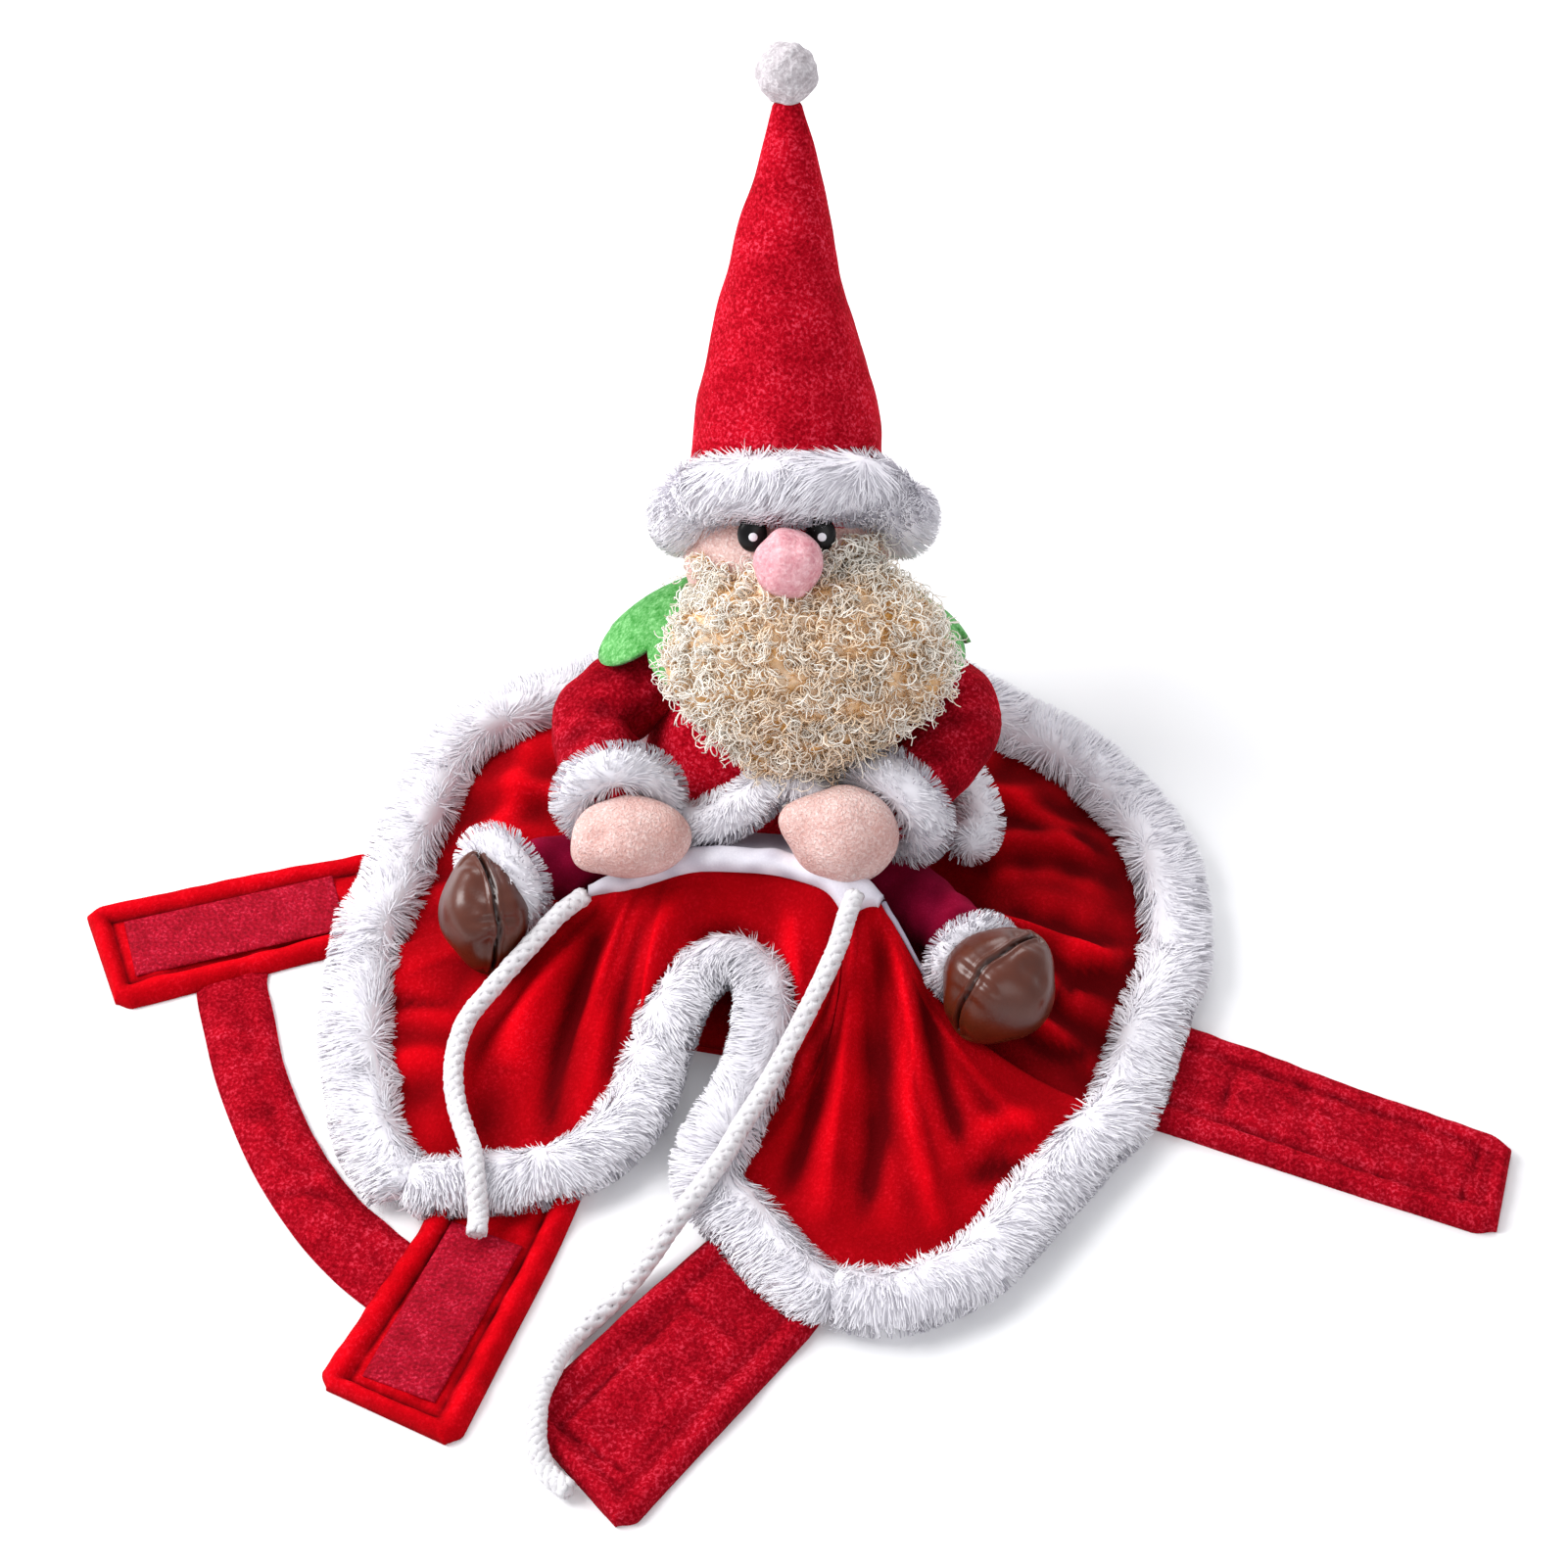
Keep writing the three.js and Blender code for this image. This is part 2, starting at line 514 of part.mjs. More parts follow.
// Front panel: u runs over the columns from left to right, v from ridge to edge
function frontTop(u, v) {
  const { outer, inner, fold, bow, drop } = FRONT_COLUMNS[Math.round(u * (FRONT_COLUMNS.length - 1))];
  const p = new THREE.Vector3().lerpVectors(inner, outer, v);
  const ahead = new THREE.Vector3().subVectors(outer, inner).setZ(0).normalize();
  const aside = bow * Math.sin(Math.PI * v);
  p.add(new THREE.Vector3(ahead.y * aside, -ahead.x * aside, 0));
  const gather = fold * Math.sin(Math.PI * v) ** 0.8;
  const height = outer.z + (inner.z - outer.z) * (1 - v) ** drop + gather;
  return p.setZ(v === 1 ? outer.z : Math.max(floorUnder(p.x, p.y) + CLOTH, height));
}

function frontUnder(u, v) {
  const p = frontTop(u, v);
  return p.setZ(Math.max(floorUnder(p.x, p.y), p.z - CLOTH));
}

// A point of a strap's plan, u along it and v from one edge to the other
function onStrap(rows, u, v) {
  const place = u * (rows.length - 1);
  const [ax, ay, bx, by] = ['ax', 'ay', 'bx', 'by'].map((key) => along(rows, key, place));
  const share = 0.5 + (v - 0.5) * (1 - 0.16 * ramp(0.93, 1, u));
  return new THREE.Vector3(ax, ay, 0).lerp(new THREE.Vector3(bx, by, 0), share);
}

// A strap: puffed border, flat bed and rounded far corners
function strap(rows, grow, bed = STRAP.bed) {
  const plan = (u, v) => onStrap(rows, u, v);
  const long = plan(0, 0.5).distanceTo(plan(1, 0.5));
  const top = (u, v) => {
    const wide = plan(u, 0).distanceTo(plan(u, 1));
    const side = (1 - Math.abs(2 * v - 1)) * (wide / 2);
    const edge = Math.min(side, (1 - u) * long * (STRAP.border / STRAP.tip));
    const puff = Math.sin(Math.PI * Math.min(1, edge / STRAP.border)) ** 0.6;
    const low = edge < STRAP.border / 2 ? 2.2 : bed;
    return plan(u, v).setZ(low + (STRAP.thick - low) * puff);
  };
  return sheet(top, plan, { across: 8, out: 10, grow });
}

// A plain slab as large as a strap, to make room for it
function strapRoom(rows) {
  const at = (height) => (u, v) => onStrap(rows, u, v).setZ(height);
  return sheet(at(STRAP.thick), at(0), { across: 8, out: 1, grow: GAP });
}

function chestStrip(grow) {
  const last = CHEST_STRIP.length - 1;
  const place = (u, v) => {
    const [p, q] = [Math.max(0, u - 0.01), Math.min(1, u + 0.01)].map((t) => t * last);
    const ahead = new THREE.Vector3(
      along(CHEST_STRIP, 'x', q) - along(CHEST_STRIP, 'x', p),
      along(CHEST_STRIP, 'y', q) - along(CHEST_STRIP, 'y', p),
      0,
    ).normalize();
    const half = along(CHEST_STRIP, 'half', u * last) * (2 * v - 1);
    return new THREE.Vector3(
      along(CHEST_STRIP, 'x', u * last) + ahead.y * half,
      along(CHEST_STRIP, 'y', u * last) - ahead.x * half,
      0,
    );
  };
  const top = (u, v) => {
    const puff = Math.max(0.35, Math.sin(Math.PI * v) ** 0.5);
    return place(u, v).setZ(along(CHEST_STRIP, 'thick', u * last) * puff);
  };
  return sheet(top, place, { across: 10, out: 3, grow });
}

// A flat tape laid from one point to another, its underside at the given height
function tape({ from, to }, lift, grow) {
  const [start, end] = [from, to].map(([x, y]) => new THREE.Vector3(x, y, 0));
  const ahead = new THREE.Vector3().subVectors(end, start).normalize();
  const at = (height) => (u, v) => new THREE.Vector3()
    .lerpVectors(start, end, u)
    .add(new THREE.Vector3(ahead.y, -ahead.x, 0).multiplyScalar((v - 0.5) * TAPE.width))
    .setZ(height);
  return sheet(at(lift + TAPE.thick), at(lift), { across: 1, out: 1, grow });
}

function rein(points, grow) {
  const curve = new THREE.CatmullRomCurve3(points.map((p) => new THREE.Vector3(...p)));
  const round = new THREE.Shape(oval(8).map(([a, b]) => new THREE.Vector2(a, b).multiplyScalar(REIN_RADIUS + grow)));
  return solidOfGeometry(new THREE.ExtrudeGeometry(round, {
    steps: points.length - 1,
    bevelEnabled: false,
    extrudePath: curve,
  }));
}

// White lining rolled over the ridge, with its lap running back under the jacket
function liningEdge(grow) {
  const profile = [
    [-3.4, -2.6], [-4.2, 0.4], [-3, 3.2], [0, 4.4], [3, 3.2], [6, -0.4], [12, -4.4], [21, -8],
    [21, -8 - LINING], [11, -6.4], [5, -2.8], [1, -1.4],
  ];
  const normals = profile.map((_, k) => {
    const [before, after] = [profile[(k + profile.length - 1) % profile.length], profile[(k + 1) % profile.length]];
    return new THREE.Vector2(before[1] - after[1], after[0] - before[0]).normalize();
  });
  const rings = [];
  const steps = 14;
  for (let i = 0; i <= steps; i += 1) {
    const place = (i / steps) * (RIDGE.length - 1);
    const middle = spot(RIDGE, place);
    const ahead = spot(RIDGE, Math.min(6, place + 0.05)).sub(spot(RIDGE, Math.max(0, place - 0.05))).setZ(0).normalize();
    const beyond = (Number(i === steps) - Number(i === 0)) * grow;
    const back = new THREE.Vector3(-ahead.y, ahead.x, 0);
    const lap = 0.12 + 0.88 * ramp(1.6, 2.4, place) * (1 - ramp(4.3, 5.2, place));
    const slim = 0.5 + 0.5 * ramp(0, 1.2, place) * (1 - ramp(5.2, 6, place));
    rings.push(profile.map(([b, z], k) => {
      const out = (b > 4 ? 4 + (b - 4) * lap : b) * slim;
      const drop = (b > 4 ? z * (0.3 + 0.7 * lap) : z) * slim;
      return middle.clone()
        .addScaledVector(ahead, beyond)
        .addScaledVector(back, out + normals[k].x * grow)
        .setZ(middle.z + 1 + drop + normals[k].y * grow);
    }));
  }
  return loft(rings);
}

// The felt collar: petals round the neck on an oval shell
function collar(grow) {
  const shell = (extra) => (u, v) => {
    const angle = u * TURN;
    const petal = Math.abs(Math.sin((COLLAR.petals * (angle - THREE.MathUtils.degToRad(COLLAR.first))) / 2)) ** 0.7;
    const neck = COLLAR.neck + COLLAR.back * Math.abs(Math.cos(angle)) + COLLAR.throat * Math.max(0, Math.cos(angle));
    const low = COLLAR.valley + COLLAR.petal * petal + COLLAR.drop * Math.max(0, Math.cos(angle));
    const reach = THREE.MathUtils.lerp(neck, low, v);
    const [a, b, c] = COLLAR.half.map((half) => half + extra);
    return onRider(
      a * Math.sin(reach) * Math.sin(angle),
      b * Math.sin(reach) * Math.cos(angle),
      COLLAR.u + c * Math.cos(reach),
    );
  };
  return sheet(shell(FELT), shell(0), { across: 45, out: 2, wrap: true, grow });
}

// A beard with soft lumps, narrow towards its lower end
function beardForm(p) {
  const [size, many] = [0.04, 6];
  const lump = size * Math.sin(many * p.x + 1) * Math.sin(many * p.y + 2) * Math.sin(many * p.z);
  const low = ramp(0, 0.9, -p.z);
  p.multiplyScalar(1 + lump);
  return p.setX(p.x * (1 - BEARD.taper * low) - BEARD.aside * low);
}

// A boot that comes to a blunt point at both ends of its seam
const bootForm = (p) => p.multiplyScalar(1 + BOOT_POINT * p.z ** 6);

const bootAxes = (tilt) => {
  const roll = new THREE.Quaternion().setFromAxisAngle(
    new THREE.Vector3(0.14, -0.65, 0.745).normalize(), THREE.MathUtils.degToRad(tilt));
  return [[0.978, 0.208, 0], [0.14, -0.65, 0.745], [-0.155, 0.727, 0.669]]
    .map((axis) => new THREE.Vector3(...axis).normalize().applyQuaternion(roll));
};

// Every piece's own form; grow leaves room round it for its neighbours
const FORMS = {
  back_panel: (grow) => sheet(backTop, backUnder, { across: BACK_COLUMNS.length, out: 5, wrap: true, grow }),
  front_panel: (grow) => sheet(frontTop, frontUnder, { across: FRONT_COLUMNS.length - 1, out: 5, grow }),
  lining_edge: liningEdge,
  hem_fur: (grow) => sweep(
    HEM.map((row) => ({ ...row, ...TRIM })), { steps: (HEM.length - 1) / STOP, section: dome(8), grow }),
  neck_fur: (grow) => sweep(
    NECK.map((row) => ({ ...row, up: TRIM.up })), { steps: (NECK.length - 1) / STOP, section: dome(8), grow }),
  belly_strap_left: (grow) => strap(BELLY_LEFT, grow),
  belly_strap_right: (grow) => strap(BELLY_RIGHT, grow, 4.6),
  neck_strap_left: (grow) => strap(NECK_LEFT, grow),
  neck_strap_right: (grow) => strap(NECK_RIGHT, grow, 4.4),
  chest_strip: chestStrip,
  rein_left: (grow) => rein(REIN_LEFT, grow),
  rein_right: (grow) => rein(REIN_RIGHT, grow),
  jacket: (grow) => sweep(riderRows(JACKET), { steps: 8, section: oval(14), grow }),
  collar,
  head: (grow) => ball(onRider(HEAD.r, HEAD.w, HEAD.u), HEAD.half, { grow, detail: [14, 9] }),
  nose: (grow) => ball(onRider(NOSE.r, NOSE.w, NOSE.u), [NOSE.radius, NOSE.radius, NOSE.radius], { grow, detail: [10, 7] }),
  hat: (grow) => sweep(riderRows(HAT), { steps: 7, section: oval(14), grow }),
  pompom: (grow) => ball(onRider(POMPOM.r, POMPOM.w, POMPOM.u), [POMPOM.radius, POMPOM.radius, POMPOM.radius], { grow, detail: [10, 7] }),
  hat_brim_fur: (grow) => sweep(
    riderRows(BRIM), { steps: 22, section: oval(7), closed: true, grow, across: 'half', up: 'half' }),
  beard: () => ball(onRider(BEARD.r, BEARD.w, BEARD.u), BEARD.half, { detail: [18, 11], form: beardForm }),
  behind_beard: (grow) => ball(onRider(0, 0, COLLAR.u), BEHIND_BEARD.half, { grow, detail: [12, 8] }),
};
for (const [name, spec] of Object.entries(LOOP_TAPES)) {
  FORMS[name] = (grow) => tape(spec, TAPE.lift, grow);
}
for (const [name, spec] of Object.entries(HOOK_TAPES)) {
  FORMS[name] = (grow) => tape(spec, 0, grow);
}
for (const [name, rows] of Object.entries(SLEEVES)) {
  FORMS[name] = (grow) => sweep(riderRows(rows), { steps: 7, section: oval(9), grow });
}
for (const [name, spec] of Object.entries(CUFFS)) {
  const ahead = onRider(...spec.toward).sub(onRider(0, 0, 0));
  FORMS[name] = (grow) => furRing(onRider(spec.r, spec.w, spec.u), ahead, spec.ring, spec.tube, grow);
}
for (const [name, spec] of Object.entries(HANDS)) {
  FORMS[name] = (grow) => {
    const [r, w, u, radius] = spec.tip;
    const palm = ball(onRider(spec.r, spec.w, spec.u), spec.half, { grow, detail: [12, 8] });
    return palm.add(ball(onRider(r, w, u), [radius, radius, radius], { grow, detail: [8, 6] }));
  };
}
for (const [name, r] of Object.entries(EYES)) {
  FORMS[name] = (grow) => ball(onRider(r, EYE.w, EYE.u), EYE.half, { grow, detail: [9, 5] });
  FORMS[`${name}_glint`] = () => {
    const dot = new THREE.CylinderGeometry(EYE.glint, EYE.glint, 0.6, 8);
    const stand = new THREE.Matrix4().makeBasis(RIGHT, FRONT, UP)
      .setPosition(onRider(r + 0.3, EYE.w + EYE.half[1] + GAP + 0.3, EYE.u));
    return solidOfGeometry(dot, stand);
  };
}
for (const [name, rows] of Object.entries(JACKET_FURS)) {
  FORMS[name] = (grow) => sweep(rows, { steps: rows.length * 2, section: oval(7), grow, across: 'half', up: 'half' });
}
for (const [name, rows] of Object.entries(LEGS)) {
  FORMS[name] = (grow) => sweep(rows, { steps: 5, section: oval(9), grow });
}
for (const [name, spec] of Object.entries(ANKLES)) {
  FORMS[name] = (grow) => furRing(
    new THREE.Vector3(spec.x, spec.y, spec.z), new THREE.Vector3(...spec.toward), spec.ring, spec.tube, grow);
}
for (const [name, spec] of Object.entries(BOOTS)) {
  FORMS[name] = (grow) => ball(
    new THREE.Vector3(spec.x, spec.y, spec.z),
    spec.half,
    { axes: bootAxes(spec.tilt), grow, detail: [12, 8], form: bootForm },
  );
}
const STRAP_ROOMS = {
  belly_left_room: BELLY_LEFT,
  belly_right_room: BELLY_RIGHT,
  neck_left_room: NECK_LEFT,
  neck_right_room: NECK_RIGHT,
};
for (const [name, rows] of Object.entries(STRAP_ROOMS)) FORMS[name] = () => strapRoom(rows);
FORMS.under_rider = () => solidOfGeometry(
  new THREE.BoxGeometry(400, 400, 80), new THREE.Matrix4().makeTranslation(0, 0, CLOTH_UNDER - 40));

// Each piece gives way to the pieces named after it
const GIVES_WAY = {
  front_panel: ['lining_edge'],
  lining_edge: ['jacket', 'leg_left', 'leg_right', 'hand_left', 'hand_right'],
  hem_fur: ['neck_fur', 'belly_left_room', 'belly_right_room', 'neck_left_room', 'neck_right_room'],
  neck_fur: ['neck_left_room', 'neck_right_room', 'rein_left', 'rein_right'],
  belly_strap_left: ['chest_strip'],
  belly_strap_right: ['hook_tape_belly'],
  neck_strap_left: ['chest_strip'],
  neck_strap_right: ['hook_tape_neck'],
  jacket: ['under_rider', 'head', 'back_panel'],
  sleeve_left: ['jacket', 'hand_left'],
  sleeve_right: ['jacket', 'hand_right'],
  hand_right: ['front_panel'],
  cuff_left: ['sleeve_left', 'hand_left', 'jacket', 'leg_left'],
  cuff_right: ['sleeve_right', 'hand_right', 'jacket', 'leg_right'],
  collar: ['head'],
  head: ['nose', 'eye_left', 'eye_right'],
  hat: ['head', 'pompom'],
  hat_brim_fur: ['hat', 'head', 'eye_left', 'eye_right'],
  beard: ['head', 'nose', 'hat', 'hat_brim_fur', 'eye_left', 'eye_right', 'behind_beard', 'cuff_left', 'cuff_right',
    'hand_left', 'hand_right', 'jacket_fur_front', 'jacket', 'sleeve_left', 'sleeve_right'],
  leg_left: ['jacket', 'boot_left', 'back_panel', 'front_panel'],
  leg_right: ['jacket', 'boot_right', 'back_panel', 'front_panel'],
  ankle_fur_left: ['leg_left', 'boot_left', 'back_panel', 'front_panel'],
  ankle_fur_right: ['leg_right', 'boot_right', 'back_panel', 'front_panel'],
  boot_left: ['back_panel', 'front_panel', 'rein_left'],
  boot_right: ['back_panel', 'front_panel'],
  jacket_fur_front: ['jacket', 'leg_left', 'leg_right', 'hand_left', 'hand_right', 'cuff_left', 'cuff_right',
    'sleeve_left', 'sleeve_right', 'lining_edge'],
  jacket_fur_back: ['jacket', 'leg_left', 'leg_right', 'back_panel'],
};
const ONLY_ROOM = [
  'behind_beard', 'under_rider', 'belly_left_room', 'belly_right_room', 'neck_left_room', 'neck_right_room',
];

// Finish of each kind of piece: colour, roughness
const FINISH = {
  plush: [0xb3071f, 0.85],
  fur: [0xf3f1ee, 0.95],
  lining: [0xe9e5ea, 0.8],
  cord: [0xeceae8, 0.8],
  tape: [0xa80f2c, 0.7],
  felt_green: [0x3a9a35, 0.95],
  felt_red: [0x8f1033, 0.95],
  skin: [0xf0b7a6, 0.9],
  nose: [0xf0a3ab, 0.9],
  eye: [0x0d0d0f, 0.25],
  glint: [0xd9d9dd, 0.4],
  curls: [0xe8cf9a, 0.7],
  leather: [0x6a3826, 0.35],
};
const FINISH_OF = [
  [/glint$/, 'glint'], [/^eye/, 'eye'], [/fur|cuff|pompom/, 'fur'], [/tape/, 'tape'], [/^rein/, 'cord'],
  [/lining/, 'lining'], [/collar/, 'felt_green'], [/^leg/, 'felt_red'], [/hand|head/, 'skin'],
  [/nose/, 'nose'], [/beard/, 'curls'], [/boot/, 'leather'], [/./, 'plush'],
];

// A piece cut to clear its neighbours, as a mesh of its own
function piece(name) {
  const room = (other) => FORMS[other](GAP);
  const solid = (GIVES_WAY[name] ?? []).reduce((left, other) => left.subtract(room(other)), FORMS[name](0));
  const { numProp, vertProperties, triVerts } = solid.getMesh();
  const geometry = new THREE.BufferGeometry();
  geometry.setAttribute('position', new THREE.BufferAttribute(Float32Array.from(vertProperties), numProp));
  geometry.setIndex(new THREE.BufferAttribute(Uint32Array.from(triVerts), 1));
  geometry.computeVertexNormals();
  const [color, roughness] = FINISH[FINISH_OF.find(([pattern]) => pattern.test(name))[1]];
  const mesh = new THREE.Mesh(geometry, new THREE.MeshStandardMaterial({ color, roughness, metalness: 0 }));
  mesh.name = name;
  return mesh;
}

const costume = new THREE.Group();
for (const name of Object.keys(FORMS)) {
  if (!ONLY_ROOM.includes(name)) costume.add(piece(name));
}

export default costume;
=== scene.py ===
"""The looks of a dog's Santa costume that lies on a table with its stuffed rider."""

import logging
import math
from dataclasses import dataclass, field
from enum import Enum
from typing import Callable, Optional, Sequence

import bpy
import numpy as np
from mathutils import Matrix, kdtree


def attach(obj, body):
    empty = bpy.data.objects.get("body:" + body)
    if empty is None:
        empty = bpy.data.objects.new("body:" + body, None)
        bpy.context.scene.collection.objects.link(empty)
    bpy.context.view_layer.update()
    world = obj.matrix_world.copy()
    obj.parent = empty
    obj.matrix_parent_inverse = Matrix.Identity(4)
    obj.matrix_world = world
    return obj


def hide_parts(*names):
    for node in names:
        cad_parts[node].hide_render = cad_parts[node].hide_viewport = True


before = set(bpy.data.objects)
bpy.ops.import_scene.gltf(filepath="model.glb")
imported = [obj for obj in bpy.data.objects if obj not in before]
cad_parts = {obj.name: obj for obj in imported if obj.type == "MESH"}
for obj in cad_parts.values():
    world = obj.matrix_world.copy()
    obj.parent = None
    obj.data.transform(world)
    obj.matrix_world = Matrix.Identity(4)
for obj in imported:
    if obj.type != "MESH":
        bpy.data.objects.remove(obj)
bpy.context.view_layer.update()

LOG = logging.getLogger("costume")
BODY = "root"
MM = 0.001
TURN = 2 * math.pi
Array = np.ndarray


# Small tools for numbers


def unit(vectors: Array) -> Array:
    """Vectors scaled to length one, along the last axis."""
    return vectors / np.maximum(np.linalg.norm(vectors, axis=-1, keepdims=True), 1e-9)


def ramp(low: float, high: float, value: Array) -> Array:
    """Smooth step from 0 at low to 1 at high."""
    t = np.clip((np.asarray(value, float) - low) / (high - low), 0, 1)
    return t * t * (3 - 2 * t)


def waves(points: Array, size: float, seed: int) -> Array:
    """Soft uneven noise made of summed waves.

    Args:
        points: places in millimetres, shape (..., 3).
        size: rough distance between two bumps in millimetres.
        seed: which noise.

    Returns:
        Values of about -1 to 1, one for each place.
    """
    rng = np.random.default_rng(seed)
    total = np.zeros(points.shape[:-1])
    for _ in range(7):
        way = unit(rng.normal(size=3)) * TURN / (size * rng.uniform(0.7, 1.6))
        total = total + np.sin(points @ way + rng.uniform(0, TURN))
    return total / 3.2


def smooth_rows(rows: Array, place: Array, closed: bool = False) -> Array:
    """Smooth curve through rows of numbers.

    Args:
        rows: one row for each station, shape (n, k).
        place: where to read, counted in rows.
        closed: whether the last row leads back to the first.

    Returns:
        Values with shape (len(place), k).
    """
    place = np.atleast_1d(np.asarray(place, float))
    count = len(rows)
    first = np.floor(place).astype(int)
    if not closed:
        first = np.clip(first, 0, count - 2)
    share = (place - first)[:, None]
    at = lambda k: (first + k) % count if closed else np.clip(first + k, 0, count - 1)
    a, b, c, d = (rows[at(k)] for k in (-1, 0, 1, 2))
    return b + 0.5 * share * (c - a + share * (2 * a - 5 * b + 4 * c - d + share * (3 * (b - c) + d - a)))


def nearest_of(places: Array, points: Array) -> Array:
    """The nearest place for each point.

    Args:
        places: the places to choose from.
        points: the points.

    Returns:
        Numbers of the places.
    """
    tree = kdtree.KDTree(len(places))
    for k, place in enumerate(places):
        tree.insert(place, k)
    tree.balance()
    return np.array([tree.find(p)[1] for p in points])


def grid_faces(across: int, along: int, wrap: bool = False) -> list[tuple[int, ...]]:
    """Four-cornered faces of a grid stored row by row.

    Args:
        across: points in each row.
        along: number of rows.
        wrap: whether each row closes on itself.

    Returns:
        Faces as tuples of point numbers.
    """
    k = np.arange(across if wrap else across - 1)
    i = np.arange(along - 1)[:, None]
    a, b = i * across + k, i * across + (k + 1) % across
    return [tuple(f) for f in np.stack([a, b, b + across, a + across], -1).reshape(-1, 4).tolist()]


def capped_faces(around: int, rings: int) -> list[tuple[int, ...]]:
    """Faces of rings of points one after the other, with a cap at both ends."""
    caps = [tuple(reversed(range(around))), tuple(range((rings - 1) * around, rings * around))]
    return grid_faces(around, rings, wrap=True) + caps


# Rider's own axes: seat point, turn about Z, lean back from upright, size

SEAT = np.array([1.4, 39.3, 6.0])
RIDER_TURN = math.radians(12)
RIDER_LEAN = math.radians(28)
RIDER_SIZE = 1.016
RIGHT = np.array([math.cos(RIDER_TURN), math.sin(RIDER_TURN), 0.0])
FRONT = np.array([
    math.sin(RIDER_TURN) * math.cos(RIDER_LEAN),
    -math.cos(RIDER_TURN) * math.cos(RIDER_LEAN),
    math.sin(RIDER_LEAN),
])
UP = np.cross(FRONT, RIGHT)
RIDER_AXES = np.stack([RIGHT, FRONT, UP])


def on_rider(places: Sequence) -> Array:
    """Points of the table's frame for points given right, forward and up from the rider's seat."""
    return SEAT + (np.asarray(places, float) * RIDER_SIZE) @ RIDER_AXES


# Meshes


def dress(obj: bpy.types.Object, nodes: Sequence[str] = ()) -> bpy.types.Object:
    """Joins a piece to the body and hides the plain solids that it stands for.

    Args:
        obj: the piece.
        nodes: solids that the piece takes the place of.

    Returns:
        The same piece.
    """
    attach(obj, BODY)
    if nodes:
        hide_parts(*nodes)
    LOG.info("%s: %d triangles", obj.name, len(obj.data.loops) - 2 * len(obj.data.polygons))
    return obj


@dataclass
class Shape:
    """Points in millimetres with faces and what is painted on the points."""

    points: Array
    faces: list[tuple[int, ...]]
    shade: Optional[Array] = None
    normals: Optional[Array] = None

    def joined(self, *others: "Shape") -> "Shape":
        """Joins this shape and others.

        Args:
            others: the other shapes.

        Returns:
            One shape, with normals only where every part has them.
        """
        parts = [self, *others]
        starts = np.cumsum([0] + [len(p.points) for p in parts[:-1]])
        faces = [tuple(i + int(s) for i in f) for p, s in zip(parts, starts) for f in p.faces]
        shades = [np.ones(len(p.points)) if p.shade is None else p.shade for p in parts]
        normals = None
        if all(p.normals is not None for p in parts):
            normals = np.concatenate([p.normals for p in parts])
        return Shape(np.concatenate([p.points for p in parts]), faces, np.concatenate(shades), normals)

    def turned_out(self) -> "Shape":
        """Turns the faces of a closed shape outwards.

        Returns:
            The same shape.
        """
        corners = self.points[np.array([f[:3] for f in self.faces])]
        volume = np.einsum("ij,ij->i", corners[:, 0], np.cross(corners[:, 1], corners[:, 2])).sum()
        if volume < 0:
            self.faces = [f[::-1] for f in self.faces]
        return self

    def build(self, name: str, material: bpy.types.Material) -> bpy.types.Object:
        """Makes a Blender object, in metres.

        Args:
            name: the piece's name.
            material: its finish.

        Returns:
            The new object.
        """
        mesh = bpy.data.meshes.new(name)
        mesh.from_pydata((self.points * MM).tolist(), [], self.faces)
        mesh.materials.append(material)
        mesh.shade_smooth()
        shade = np.ones(len(self.points)) if self.shade is None else self.shade
        mesh.attributes.new("shade", "FLOAT", "POINT").data.foreach_set("value", shade.astype(np.float32))
        if self.normals is not None:
            mesh.normals_split_custom_set_from_vertices(unit(self.normals).tolist())
        obj = bpy.data.objects.new(name, mesh)
        bpy.context.scene.collection.objects.link(obj)
        return obj


def shell(top: Array, under: Array, shade: Array) -> Shape:
    """Closed cloth between two grids of points.

    Args:
        top: upper points, shape (rows, columns, 3).
        under: lower points of the same shape.
        shade: paint for the upper points, shape (rows, columns).

    Returns:
        One closed shape.
    """
    rows, columns = top.shape[:2]
    count = rows * columns
    faces = grid_faces(columns, rows)
    faces += [tuple(count + i for i in reversed(f)) for f in faces]
    index = np.arange(count).reshape(rows, columns)
    rim = np.concatenate([index[0, :-1], index[:-1, -1], index[-1, :0:-1], index[:0:-1, 0]])
    faces += [(int(b), int(a), int(a) + count, int(b) + count) for a, b in zip(rim, np.roll(rim, -1))]
    return Shape(np.concatenate([top.reshape(-1, 3), under.reshape(-1, 3)]), faces, np.tile(shade.ravel(), 2))


